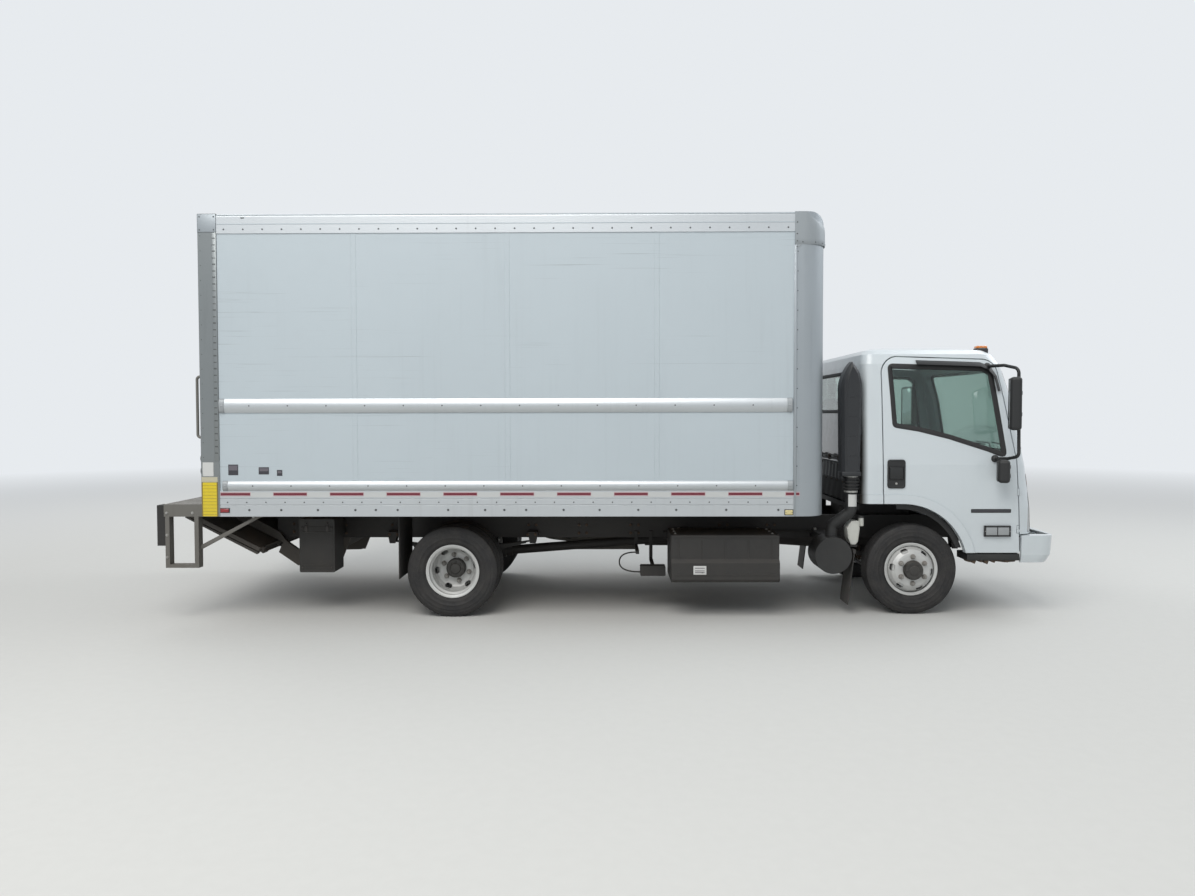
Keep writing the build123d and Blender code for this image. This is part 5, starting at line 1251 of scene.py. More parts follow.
def buildMirrors(side):
    plan = mirrorPlan
    name = handOf[side]
    bm = bmesh.new()
    for x, y, length, width, low, high in plan["heads"]:
        seen = set(bm.verts)
        rear = x - length / 2
        half = width / 2
        inner, outer = y - half + 14, y + half - 14
        addBlock(bm, (rear - 1.4, rear + 3), wide(side, inner + 4, outer - 4), (low + 20, high - 20), 1.2, 2, 1)
        for z in (low + 16, high - 16):
            addBlock(bm, (rear - 4, rear + 6), wide(side, inner, outer), (z - 5, z + 5), 3.0, 2)
        for edge in (inner, outer):
            addBlock(bm, (rear - 4, rear + 6), wide(side, edge - 5, edge + 5), (low + 14, high - 14), 3.0, 2)
        for z in (low + (high - low) * 0.3, low + (high - low) * 0.7):
            addBlock(bm, (x + length / 2 - 4, x + length / 2 + 5), wide(side, y - half * 0.6, y + half * 0.5),
                     (z - 16, z + 16), 4.0, 2)
        fresh = [vert for vert in bm.verts if vert not in seen]
        bmesh.ops.rotate(bm, cent=at(x, side * y, 0), matrix=Matrix.Rotation(radians(side * plan["turn"]), 3, "Z"),
                         verts=fresh)
    rod = plan["rodRadius"]
    for x, y, z in plan["clamps"]:
        addTurned(bm, [(rod + 0.4, -16), (rod + 5, -13), (rod + 5, 13), (rod + 0.4, 16)],
                  at(x, side * y, z), (0, 0, 1), 20)
    for x, y, z in ((610, 926, 2062), (652, 1004, 1302)):
        addTurned(bm, [(30, -12), (30, 4), (24, 12), (14, 18)], at(x, side * y, z), (0.25, side, 0), 20)
    pieceFrom(bm, f"mirror_glass_{name}", ["blackPlastic", "mirrorGlass"], f"door_{name}")


bothSides(buildMirrors)
print("doors done")

# Nose: lamp units, roof lamps, wipers, panel seams, bumper fittings
nosePlan = {"bowls": ((812, 985, 74), (790, 830, 62)), "wipers": ((560, 60), (-60, -560)),
            "roofLamps": (-700, -180, 0, 180, 700), "plate": (-165, 165, 548, 640)}


def buildNose():
    plan = nosePlan
    front = fromFront(shellSkin)
    bm = bmesh.new()
    for side in (-1, 1):
        for y, z, radius in plan["bowls"]:
            ring = [(side * y + radius * cos(a), z + radius * sin(a)) for a in turns(28)]
            addBand(bm, front, ring, [(2, -0.5), (2, 2.4), (-6, 3.0), (-9, 0.8), (-26, 0.5), (-27, 2.6), (-44, 3.2)],
                    -8, frontPlane, True, 1)
        addPatch(bm, front, softRect(side * 700, side * 905, 1080, 1150, 10), 3.0, frontPlane, 2)
        addBand(bm, front, softRect(side * 652, side * 905, 702, 1168, 22),
                [(5, -0.6), (5, 2.0), (-3, 2.6), (-6, 0.4)], 0, frontPlane)
    pieceFrom(bm, "headlamp_units", ["glossPlastic", "reflector", "amberLens"], "cab", 45)
    bm = bmesh.new()
    for y in plan["roofLamps"]:
        addBlock(bm, (594, 696), (y - 37, y + 37), (2180, 2226), 8.0, 3, 1)
        addBlock(bm, (598, 692), (y - 34, y + 34), (2222, 2247), 12.0, 4, 0)
    pieceFrom(bm, "roof_lamp_domes", ["amberLens", "lampBase"], "cab")
    bm = bmesh.new()
    glass = fromFront(cabSkin)
    for tip, pivot in plan["wipers"]:
        place, normal = glass(pivot, 1392)
        root, rootNormal = glass(pivot, 1322)
        addTurned(bm, [(26, -4), (26, 8), (18, 16), (14, 28), (0, 30)], root, rootNormal, 18)
        middle, middleNormal = glass((pivot + tip) / 2, 1398)
        addTube(bm, smoothPath([root + rootNormal * 0.02, place + normal * 0.030, middle + middleNormal * 0.026], 60),
                6.0, 8)
        line = [glass(pivot + (tip - pivot) * (0.12 + 0.94 * n / 12), 1378 + 26 * n / 12) for n in range(13)]
        for lift, radius in ((0.016, 4.5), (0.007, 3.0)):
            addTube(bm, [spot + up * lift for spot, up in line], radius, 6)
    pieceFrom(bm, "wipers", "blackPlastic", "cab")
    bm = bmesh.new()    # seams of the nose panel
    for z in (1296, 1318):
        points = [(y, z) for y in range(-840, 841, 60)]
        addStrip(bm, front, points, (4, -0.4), (3, 1.2), frontPlane)
    for y in (-642, 642):
        addStrip(bm, front, [(y, z) for z in range(690, 1291, 50)], (3, -0.4), (2, 1.0), frontPlane)
    pieceFrom(bm, "nose_seams", "sealRubber", "cab")
    bm = bmesh.new()
    bumperFront = fromFront(surfaceOf("bumper"))
    for y in (-420, 420):
        for z in (592, 640):
            addBolt(bm, *bumperFront(y, z), 20, 10)
    addPatch(bm, bumperFront, softRect(*plan["plate"], 12), 3.0, frontPlane, 1)
    for side in (-1, 1):
        addBand(bm, bumperFront, softRect(side * 640, side * 800, 520, 606, 16),
                [(6, -0.5), (6, 3), (-3, 4), (-7, 1)], 0, frontPlane, True, 2)
        addPatch(bm, bumperFront, softRect(side * 645, side * 795, 525, 601, 12), 2.0, frontPlane, 3)
    pieceFrom(bm, "bumper_fittings", ["nutSteel", "stickerWhite", "glossPlastic", "clearLens"], "chassis", 45)


buildNose()

# Cab's rear corner: snorkel ridge and ribs, bellows with clamps, blank pipe label, coolant bottle's fittings
snorkelPlan = {"pipe": (-510.0, -940.0), "rings": (1046, 1074, 1102, 1130), "label": (906, 1006),
               "bottleCap": (-412, -890, 806)}


def buildSnorkel():
    plan = snorkelPlan
    x, y = plan["pipe"]
    bm = bmesh.new()
    find = fromSide(surfaceOf("snorkel"), -1)
    ridge = [(-560, 1250), (-566, 1600), (-569, 1850), (-552, 1990), (-522, 2072)]
    addStrip(bm, find, refined(ridge, 60, False), (9, -1), (7, 2.2), sidePlane)
    for z in (1330, 1490, 1650, 1810):
        line = [(px, z) for px in (-574, -545, -515, -485)]
        addStrip(bm, find, line, (3, -1), (3, 1.2), sidePlane)
    addBlock(bm, (-604, -446), (-1014, -876), (1158, 1196), 8.0, 3)
    pieceFrom(bm, "snorkel_ribs", "snorkelPlastic", "cab", 45)
    bm = bmesh.new()
    for z in plan["rings"]:
        addTurned(bm, [(52, 0), (60, 1), (67, 5), (67, 10), (60, 14), (52, 15)], at(x, y, z), (0, 0, 1), 32)
    for z in (1030, 1156):
        addTurned(bm, [(53, -7), (56.5, -7), (56.5, 7), (53, 7)], at(x, y, z), (0, 0, 1), 32, 1)
        addBlock(bm, (x - 8, x + 8), (y - 66, y - 52), (z - 8, z + 8), 2.0, 2, 1)
    pieceFrom(bm, "intake_bellows", ["flapRubber", "nutSteel"])
    bm = bmesh.new()
    low, high = plan["label"]
    arc = [radians(-130 + 8 * n) for n in range(13)]
    rows = [[bm.verts.new(at(x + r * cos(a), y + r * sin(a), z)) for a in arc] for r,
            z in ((47.5, low), (48.8, low), (48.8, high), (47.5, high))]
    bridge(bm, rows)
    pieceFrom(bm, "pipe_label", "stickerWhite")
    bm = bmesh.new()    # coolant bottle: cap, seam, level marks, strap
    capX, capY, capZ = plan["bottleCap"]
    addTurned(bm, [(23, -2), (28, -2), (28, 10), (25, 14), (0, 14)], at(capX, capY, capZ), (0, 0, 1), 24, 1)
    for a in turns(12):
        x, y = capX + 27 * cos(a), capY + 27 * sin(a)
        addBlock(bm, (x - 2, x + 2), (y - 2, y + 2), (capZ, capZ + 11), 0.6, 1, 1)
    bottle = fromSide(surfaceOf("coolant_bottle"), -1)
    seam = refined([(-530, 724), (-500, 770), (-452, 770), (-446, 718), (-460, 614), (-476, 598), (-503, 598),
                    (-524, 644)], 30)
    addBand(bm, bottle, seam, [(2, -0.5), (2, 1.4), (-2, 1.4), (-2, -0.5)], 0, sidePlane)
    for z in (640, 655, 700):
        addStrip(bm, bottle, [(-500, z), (-485, z), (-470, z)], (1.5, -0.4), (1.5, 0.8), sidePlane)
    pieceFrom(bm, "bottle_fittings", ["bottleWhite", "blackPlastic"])


buildSnorkel()


# Back of the cab: ribbed black splash cover over the engine, with a rubber skirt and two clipped lines; a dark sheet
# across the whole back, it is partly a real part and partly painted shade under the cab
shadeCoverPlan = {"half": 770.0, "top": (-447.0, 1232.0), "knee": (-456.0, 1085.0), "foot": (-478.0, 922.0), "ribs": 13,
             "thick": 4.0,
             "lines": ((1262, 9), (1288, 6))}


def buildRearShadeCover():
    plan = shadeCoverPlan
    (kneeX, kneeZ), (footX, footZ) = plan["knee"], plan["foot"]
    # the black sheet closes the view under the back of the cab: partly painted shade
    bm = bmesh.new()
    rows = []
    for number in range(plan["ribs"] * 4 + 1):
        y = -plan["half"] + 2 * plan["half"] * number / (plan["ribs"] * 4)
        lift = 5.0 if number % 4 in (1, 2) else 0.0
        rows.append([bm.verts.new(at(x - lift, y, z)) for x, z in (plan["knee"], plan["top"])])
    bridge(bm, rows)
    skirt = []
    for number in range(61):
        y = -plan["half"] - 14 + (2 * plan["half"] + 28) * number / 60
        wave = 4.0 * sin(number * 0.9) + 2.5 * sin(number * 0.37)
        ragged = 6.0 * sin(number * 1.7)
        skirt.append([bm.verts.new(at(kneeX - 1 - wave * t * 0.6 - (kneeX - footX) * t, y,
                                      kneeZ + 12 + (footZ - kneeZ - 12 - ragged * (t > 0.9)) * t))
                      for t in (0.0, 0.35, 0.7, 1.0)])
    bridge(bm, skirt, 1)
    bmesh.ops.recalc_face_normals(bm, faces=bm.faces)
    bmesh.ops.solidify(bm, geom=bm.faces[:], thickness=plan["thick"] / 1000)
    for y in range(-700, 701, 200):
        addBolt(bm, at(plan["top"][0] - 6, y, 1216), (-1, 0, 0), 13, 6, 1.5, 2)
        addBolt(bm, at(kneeX - 8, y, 1076), (-1, 0, 0), 13, 6, 1.5, 2)
    for z, radius in plan["lines"]:
        path = [at(-452, -800, z - 150), at(-454, -790, z), at(-456, -200, z + 4), at(-454, 420, z - 6),
                at(-452, 700, z), at(-450, 740, z - 130)]
        addTube(bm, smoothPath(path, 80), radius, 10, 3)
    for y in (-640, -340, 0, 330, 600):
        addBlock(bm, (-470, -442), (y - 9, y + 9), (1248, 1302), 5.0, 2, 2)
    pieceFrom(bm, "cab_rear_shade_cover", ["blackPlastic", "flapRubber", "rustySteel", "sealRubber"], "cab")


buildRearShadeCover()


stepPlan = {"bars": 14, "first": 462, "pitch": 28, "rear": 440, "front": 872,
            "jags": ((458, 20), (500, 34), (556, 22), (604, 38), (662, 26), (716, 14), (770, 24), (828, 12))}


def buildCabSteps(side):
    # worn tread bars on the step, jagged rusty brackets under it
    plan = stepPlan
    name = handOf[side]
    bm = bmesh.new()
    for number in range(plan["bars"]):
        x = plan["first"] + number * plan["pitch"]
        addBlock(bm, (x, x + 12), wide(side, 800, 962), (513, 518), 1.4, 1)
    addBlock(bm, (plan["rear"], plan["front"]), wide(side, 970, 979), (461, 512), 4.0, 2)
    for x, drop in plan["jags"]:
        addPrism(bm, [(x - 22, 462), (x + 24, 462), (x + 10, 462 - drop), (x - 14, 462 - drop * 0.7)],
                 *wide(side, 905, 968), 2.0, 1)
    addPrism(bm, [(600, 458), (872, 458), (872, 436), (790, 430), (700, 440)], *wide(side, 880, 900), 2.0, 1)
    pieceFrom(bm, f"step_treads_{name}", ["blackPlastic", "rustySteel"], "cab")


bothSides(buildCabSteps)
print("cab done")

# Under the body: side box, frame bolts, spring clips and air lines
sideBoxPlan = {"label": (-1832, -1727, 366, 438)}
chassisPlan = {
    "railBolts": [(-5300, 660), (-4900, 650), (-4420, 650), (-3200, 650), (-2750, 650), (-2290, 650), (-1500, 650),
                  (-1080, 650)],
    "ubolts": ((0, 70), (-3810, 84)),
}


def buildSideBox():
    side = surfaceOf("side_box")
    find = fromSide(side, -1)
    x0, x1, z0, z1 = sideBoxPlan["label"]
    bm = bmesh.new()
    addPatch(bm, find, softRect(x0, x1, z0, z1, 5, 30), 1.4, sidePlane)
    for z in (z0 + 18, z0 + 32, z0 + 54):
        line = [(x0 + 12, z), ((x0 + x1) / 2, z), (x1 - 14, z)]
        addStrip(bm, find, line, (3, 1.0), (3, 1.9), sidePlane, 1)
    pieceFrom(bm, "side_box_label", ["stickerWhite", "stickerGrey"])
    (left, right), _, (bottom, top) = extent(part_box("side_box"))
    bm = bmesh.new()
    for z in (bottom + 62, top - 22):
        line = [(left + 30 + n * (right - left - 60) / 8, z) for n in range(9)]
        addStrip(bm, find, line, (5, -1), (4, 2.4), sidePlane)
    for number in range(5):
        x = left + 60 + number * (right - left - 120) / 4
        addStrip(bm, find, [(x, bottom + 80), (x, (bottom + top) / 2), (x, top - 40)], (6, -1), (4, 3.4), sidePlane)
    above = fromAbove(side)
    for x in (left + 40, right - 40):
        for y in (-1000, -860, -720):
            spot = above(x, y)
            if spot:
                addBolt(bm, spot[0], spot[1], 16, 9, 1.5, 1)
    pieceFrom(bm, "side_box_ribs", ["chassisBlack", "nutSteel"])


buildSideBox()


def buildFrameBolts(side):
    name = wallOf[side]
    find = fromSide(surfaceOf("frame"), side)
    bm = bmesh.new()
    for x, z in chassisPlan["railBolts"]:
        for dx in (-34, 34):
            for dz in (-36, 36):
                spot = find(x + dx, z + dz)
                if spot and spot[1].dot(Vector((0, side, 0))) > 0.9:
                    addBolt(bm, spot[0], (0, side, 0), 17, 10, 2.0, 0, x)
    springs = surfaceOf("leaf_springs")
    above = fromAbove(springs)
    for axle, gap in chassisPlan["ubolts"]:
        spot = above(axle, side * 420) or above(axle, side * 460) or above(axle, side * 400)
        if not spot:
            continue
        y = spot[0].y * 1000
        top = spot[0].z * 1000
        for dx in (-gap, gap):
            for dy in (-48, 48):
                addTube(bm, [at(axle + dx, y + dy, top - 170), at(axle + dx, y + dy, top + 14)], 9.0, 10)
                addBolt(bm, at(axle + dx, y + dy, top - 168), (0, 0, -1), 22, 15, 3)
            bend = [at(axle + dx, y - 48, top + 14)] + [at(axle + dx, y - 48 * cos(pi * n / 6),
                                                           top + 14 + 12 * sin(pi * n / 6)) for n in range(7)]
            addTube(bm, bend[1:], 9.0, 10)
        addBlock(bm, (axle - gap - 16, axle + gap + 16), (y - 64, y + 64), (top - 160, top - 146), 4.0, 2)
    for x in (-330, 300, -4180, -3440):
        spot = above(x, side * 430)
        if spot:
            middle, lift = spot[0].y * 1000, spot[0].z * 1000
            addBlock(bm, (x - 14, x + 14), (middle - 46, middle + 46), (lift - 50, lift + 5), 3.0, 2)
            addBolt(bm, at(x, middle + side * 45, lift - 20), (0, side, 0), 15, 9)
    pieceFrom(bm, f"frame_bolts_{name}", "rustySteel")


bothSides(buildFrameBolts)


def buildAirLines():
    bm = bmesh.new()
    path = [at(-2040, -500, 640), at(-1500, -480, 652), at(-900, -476, 640), at(-560, -474, 650)]
    for y, drop in ((0, 0), (14, 6), (-13, 9)):
        addTube(bm, smoothPath([p + Vector((0, y / 1000, -drop / 1000)) for p in path], 120), 5.0, 8)
    rear = [at(-3300, 474, 640), at(-3700, 466, 660), at(-4300, 474, 640), at(-5000, 476, 652)]
    for y, drop in ((0, 0), (12, 5)):
        addTube(bm, smoothPath([p + Vector((0, y / 1000, -drop / 1000)) for p in rear], 120), 5.0, 8)
    for x in (-1900, -1200, -700):
        addBlock(bm, (x - 10, x + 10), (-500, -455), (628, 668), 3.0, 2, 1)
    for x in (-3500, -4100, -4700):
        addBlock(bm, (x - 10, x + 10), (455, 498), (628, 672), 3.0, 2, 1)
    pieceFrom(bm, "frame_lines", ["flapRubber", "nutSteel"])


buildAirLines()

# Air hose: one run out of the fitting, round and into the valve block
hosePlan = {"route": ((-2290, 500), (-2430, 500), (-2430, 332), (-2253, 332)), "y": -800.0, "diameter": 0.012,
            "length": 0.40}


def buildHose(plan):
    curve = bpy.data.curves.new("airHose", "CURVE")
    curve.dimensions = "3D"
    line = curve.splines.new("NURBS")
    line.points.add(len(plan["route"]) - 1)
    for point, (x, z) in zip(line.points, plan["route"]):
        point.co = tuple(at(x, plan["y"], z)) + (1,)
    line.order_u = 3
    line.use_endpoint_u = True
    line.resolution_u = 24
    curve.bevel_depth = plan["diameter"] / 2
    curve.bevel_resolution = 5
    curve.materials.append(materials["flapRubber"])
    hose = linked("air_hose_line", curve)
    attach(hose, "chassis")
    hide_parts("air_hose")
    x, z = plan["route"][0]


buildHose(hosePlan)

# Lift gate and steps: tread plate, bolts, dock rubber ribs, pump box lid
treadPlan = {"length": 17.0, "width": 4.0, "height": 1.1, "pitch": 48, "turn": 0.6}


def addTread(bm, place, ahead, up, plan):
    # a raised lozenge of tread plate
    length, width, height = plan["length"], plan["width"], plan["height"]
    across = up.cross(ahead)
    ring = [bm.verts.new(place + (ahead * a * length + across * b * width) / 1000 - up * 0.0003)
            for a, b in ((1, 0), (0.4, 1), (-0.4, 1), (-1, 0), (-0.4, -1), (0.4, -1))]
    one, two = [bm.verts.new(place + (ahead * a * length * 0.6 + up * height) / 1000) for a in (1, -1)]
    for corners in ((ring[0], ring[1], one), (ring[1], ring[2], two, one), (ring[2], ring[3], two),
                    (ring[3], ring[4], two), (ring[4], ring[5], one, two), (ring[5], ring[0], one)):
        bm.faces.new(corners)


def addTreadPlate(bm, find, xs, ys, up, plan=treadPlan):
    # lozenges in two crossing directions, wherever the look finds a level face
    pitch = plan["pitch"]
    for row, x in enumerate(range(*xs, pitch)):
        for column, y in enumerate(range(ys[0] + (row % 2) * pitch // 2, ys[1], pitch)):
            spot = find(x, y)
            turn = plan["turn"] if (row + column) % 2 else -plan["turn"]
            if spot and spot[1].z * up > 0.8:
                addTread(bm, spot[0], Vector((cos(turn), sin(turn), 0)), spot[1], plan)


def buildRearSteps(side):
    name = wallOf[side]
    find = fromAbove(surfaceOf("rear_steps"))
    bm = bmesh.new()
    addTreadPlate(bm, find, (-6090, -5820), wide(side, 20, 1190), 1)
    outer = fromSide(surfaceOf("rear_steps"), side)
    for x, z in ((-6094, 520), (-6094, 700), (-5884, 560), (-5884, 740), (-6094, 880), (-5884, 880), (-5368, 820),
                 (-5392, 850)):
        spot = outer(x, z)
        if spot:
            addBolt(bm, spot[0], (0, side, 0), 15, 8, 1.8, 1, x)
    pieceFrom(bm, f"step_treads_rear_{name}", ["galvanised", "nutSteel"])
    bm = bmesh.new()
    find = fromBehind("dock_rubbers")
    for z in (672, 778, 884):
        spot = find(side * 1144, z)
        if spot:
            addTurned(bm, [(17, -0.5), (17, 1.5), (13, 2.5), (11, -3), (0, -3)], spot[0], (-1, 0, 0), 18, 1)
            addBolt(bm, spot[0] + Vector((0.003, 0, 0)), (-1, 0, 0), 15, 7, 1, 1, z)
    for z in range(636, 930, 22):
        line = [(side * y, z) for y in (1104, 1144, 1184)]
        addStrip(bm, find, line, (2.5, -0.4), (2, 0.9), frontPlane)
    pieceFrom(bm, f"dock_rubber_bolts_{name}", ["flapRubber", "nutSteel"])


bothSides(buildRearSteps)


def buildGate():
    left, right = extent(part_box("gate_platform"))[0]
    below = lookAt(surfaceOf("gate_platform"), (0, 0, 1), lambda x, y: (x, y, -200))
    bm = bmesh.new()
    addTreadPlate(bm, below, (int(left) + 70, int(right) - 60), (-870, 880), -1)
    pieceFrom(bm, "platform_tread", "gateSteel", "gate_platform", 60)


buildGate()


def buildPumpBox():
    (x0, x1), (y0, _), (z0, z1) = extent(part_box("pump_box"))
    bm = bmesh.new()
    addBlock(bm, (x0 + 14, x1 - 14), (y0 - 2.5, y0 + 4), (z0 + 24, z1 - 60), 3.0, 2)
    for x in (x0 + 60, x1 - 60):
        addBlock(bm, (x - 12, x + 12), (y0 - 9, y0 - 1), (z1 - 104, z1 - 56), 3.0, 2, 1)
        addBolt(bm, at(x, y0 - 2, z1 - 40), (0, -1, 0), 13, 7, 1, 1)
    find = fromSide(surfaceOf("pump_box"), -1)
    for z in (z0 + 60, z1 - 110):
        addStrip(bm, find, [(x0 + 30, z), ((x0 + x1) / 2, z), (x1 - 30, z)], (5, 2.2), (3, 5.4), sidePlane)
    for x in (x0 + 26, x1 - 26):
        for z in (z0 + 40, z1 - 78):
            addBolt(bm, at(x, y0 - 2.5, z), (0, -1, 0), 11, 6, 1, 1)
    pieceFrom(bm, "pump_box_lid", ["chassisBlack", "castIron"])


buildPumpBox()
print("chassis done")

# Rear end: the roll-up door's hinge rivets, latch, edge seals and pull strap

def buildRollDoor():
    find = fromBehind("rollup_door")
    _, (_, half), (bottom, top) = extent(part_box("rollup_door"))
    back = (-1, 0, 0)
    bm = bmesh.new()
    for y in (-half * 0.66, -half * 0.33, 0, half * 0.33, half * 0.66):
        for z in pitched(bottom + 240, top - 60, 240):
            spot = find(y, z)
            if spot:
                for dz in (-16, 16):
                    for dy in (-30, 30):
                        addRivet(bm, spot[0] + Vector((0, dy / 1000, dz / 1000)), back, 5.0, 2.0, 8, 1)
    base = (find(0, bottom + 110)[0].x - shift) * 1000
    addBlock(bm, (base - 5, base + 1), (-150, 150), (bottom + 60, bottom + 210), 2.0, 2, 1)
    addBlock(bm, (base - 26, base - 4), (-26, 26), (bottom + 80, bottom + 178), 6.0, 3, 1)
    addBlock(bm, (base - 22, base - 4), (-120, 40), (bottom + 116, bottom + 140), 6.0, 3, 1)
    addTurned(bm, [(17, -2), (17, 12), (13, 16), (8, 14), (0, 14)], at(base - 6, 94, bottom + 138), back, 20, 1)
    for y in (-136, 136):
        for z in (bottom + 74, bottom + 196):
            addBolt(bm, at(base - 5, y, z), back, 12, 6, 1, 1)
    for y in (-half + 60, half - 60):
        line = [(y, z) for z in range(int(bottom) + 30, int(top) - 20, 80)]
        addStrip(bm, find, line, (10, -0.5), (10, 1.4), frontPlane)
    line = [(y, bottom + 16) for y in range(-1000, 1001, 100)]
    addStrip(bm, find, line, (14, -0.5), (12, 6), frontPlane, 2)
    pieceFrom(bm, "rollup_door_fittings", ["boxWhite", "nutSteel", "flapRubber"])
    bm = bmesh.new()
    strap = [at(base - 6, 30, bottom + 62), at(base - 14, 34, bottom + 20), at(base - 18, 40, bottom - 16)]
    for first, second in zip(strap, strap[1:]):
        ring = [bm.verts.new(p + Vector((0, dy / 1000, 0))) for p,
                dy in ((first, -14), (first, 14), (second, 14), (second, -14))]
        bm.faces.new(ring)
    bmesh.ops.remove_doubles(bm, verts=bm.verts, dist=0.0001)
    bmesh.ops.recalc_face_normals(bm, faces=bm.faces)
    bmesh.ops.solidify(bm, geom=bm.faces[:], thickness=0.003)
    pieceFrom(bm, "rollup_door_strap", "strapWebbing")


buildRollDoor()
print("rear done")

# Seats: cushions blown up with cloth pressure, sewn lines laid on afterwards
seatPlan = {
    "seats": ((240.0, 740.0), (-780.0, -60.0)), "voxel": 0.010, "calm": 24, "pressure": 4.0, "cap": 0.024,
    "frames": 12, "lean": -0.075,
}


def softBlock(name, low, high, bow):
    # a cushion's starting form: a rounded block, pulled in between its corners
    bm = bmesh.new()
    addBlock(bm, (low[0], high[0]), (low[1], high[1]), (low[2], high[2]),
             min(h - l for l, h in zip(low, high)) * 0.30, 3)
    middle, half = [(l + h) / 2 for l, h in zip(low, high)], [(h - l) / 2 for l, h in zip(low, high)]
    for vert in bm.verts:
        x, y = (vert.co.x - shift) * 1000, vert.co.y * 1000
        tx, ty = (x - middle[0]) / half[0], (y - middle[1]) / half[1]
        vert.co.x -= tx * bow * (1 - ty * ty) / 1000
        vert.co.y -= ty * bow * (1 - tx * tx) / 1000
    mesh = bpy.data.meshes.new(name)
    bm.to_mesh(mesh)
    bm.free()
    return linked(name, mesh)


def inflate(piece, plan):
    remesh = piece.modifiers.new("even", "REMESH")
    remesh.mode = "VOXEL"
    remesh.voxel_size = plan["voxel"]
    applyModifiers(piece)
    before = [vertex.co.copy() for vertex in piece.data.vertices]
    cloth = piece.modifiers.new("fill", "CLOTH")
    cloth.settings.use_pressure = True
    cloth.settings.uniform_pressure_force = plan["pressure"]
    cloth.settings.effector_weights.gravity = 0.0
    cloth.settings.tension_stiffness = 12.0
    cloth.settings.bending_stiffness = 1.5
    for number in range(1, plan["frames"] + 1):
        bpy.context.scene.frame_set(number)
    applyModifiers(piece)
    moves = [vertex.co - start for vertex, start in zip(piece.data.vertices, before)]
    pairs = [tuple(edge.vertices) for edge in piece.data.edges]
    for _ in range(plan["calm"]):  # evens out the crumple and keeps the swell
        sums, counts = [move.copy() for move in moves], [1] * len(moves)
        for a, b in pairs:
            sums[a] += moves[b]
            sums[b] += moves[a]
            counts[a] += 1
            counts[b] += 1
        moves = [total / count for total, count in zip(sums, counts)]
    for vertex, start, move in zip(piece.data.vertices, before, moves):
        vertex.co = start + move * min(1.0, plan["cap"] / max(move.length, 1e-9))
    bpy.context.scene.frame_set(1)
    smooth = piece.modifiers.new("smooth", "SMOOTH")
    smooth.iterations = 6
    smooth.factor = 0.5
    finer = piece.modifiers.new("finer", "SUBSURF")
    finer.levels = finer.render_levels = 1
    applyModifiers(piece)
    for face in piece.data.polygons:
        face.use_smooth = True


def applyModifiers(piece):
    graph = bpy.context.evaluated_depsgraph_get()
    made = bpy.data.meshes.new_from_object(piece.evaluated_get(graph))
    piece.modifiers.clear()
    piece.data = made


def lean(piece, pivot, angle):
    turn = Matrix.Translation(pivot) @ Matrix.Rotation(angle, 4, "Y") @ Matrix.Translation(-pivot)
    piece.data.transform(turn)


def treeOf(piece):
    mesh = piece.data
    return BVHTree.FromPolygons([vertex.co.copy() for vertex in mesh.vertices],
                                [list(face.vertices) for face in mesh.polygons])


def addSeam(bm, find, points, radius):
    # a sewn line, wherever the look finds the cushion
    spots = [spot for spot in (find(*pair) for pair in points) if spot]
    if len(spots) > 2:
        addTube(bm, [place + normal * 0.0005 for place, normal in spots], radius, 6)


def buildSeat(number, y0, y1):
    deck = extent(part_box("seats"))[2][0]
    base = deck + 60
    middle = (y0 + y1) / 2
    cushion = softBlock(f"seat_cushion_{number}", (-312, y0 + 18, base + 16), (152, y1 - 18, base + 126), 12)
    back = softBlock(f"seat_back_{number}", (-318, y0 + 18, base + 128), (-226, y1 - 18, 1834), 10)
    head = softBlock(f"headrest_{number}", (-338, middle - 104, 1856), (-284, middle + 104, 1974), 6)
    for piece, turn in ((cushion, 0.0), (back, seatPlan["lean"]), (head, 0.0)):
        inflate(piece, seatPlan)
        if turn:
            lean(piece, at(-226, 0, base + 128), turn)
        piece.data.materials.append(materials["headrestCloth" if piece is head else "seatCloth"])
        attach(piece, "cab")
    bm = bmesh.new()
    for y in (middle - 60, middle + 60):
        addTube(bm, [at(-311, y, 1800), at(-311, y, 1880)], 6, 10, 1)
    above = lookAt(treeOf(cushion), (0, 0, -1), lambda x, y: (x, y, 2400))
    ahead = lookAt(treeOf(back), (-1, 0, 0), lambda y, z: (900, y, z))
    half = (y1 - y0) / 2
    for y in (middle - half * 0.55, middle + half * 0.55):
        addSeam(bm, above, [(x, y) for x in range(-270, 131, 40)], 2.6)
        addSeam(bm, ahead, [(y, z) for z in range(int(base) + 200, 1780, 60)], 2.6)
    for t in (0.33, 0.66):
        z = base + 200 + (1560 - base) * t
        addSeam(bm, ahead, [(middle + half * 0.5 * k / 4, z) for k in range(-4, 5)], 2.2)
    addBlock(bm, (-290, 132), (y0 + 44, y1 - 44), (deck + 2, base + 30), 8.0, 2, 2)
    addBlock(bm, (-120, 20), (y1 - 22, y1 + 2), (base - 20, base + 36), 6.0, 3, 2)
    pieceFrom(bm, f"seat_seams_{number}", ["stitchDark", "nutSteel", "dashPlastic"], "cab")
    return [cushion, back, head]


seatPieces = []
for number, (near, far) in enumerate(seatPlan["seats"]):
    seatPieces += buildSeat(number, near, far)
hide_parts("seats")
print("seats done")

# Dashboard: instrument hood and dials, vents, radio, glove box, levers, the wheel's rim and hub
dashPlan = {"face": 762, "hood": (330, 650), "dials": (400, 490, 580), "vents": (-760, -420, 40, 720),
            "wheel": (560.0, 490.0, 1354.0), "wheelRadius": 200.0, "tilt": 25.0}


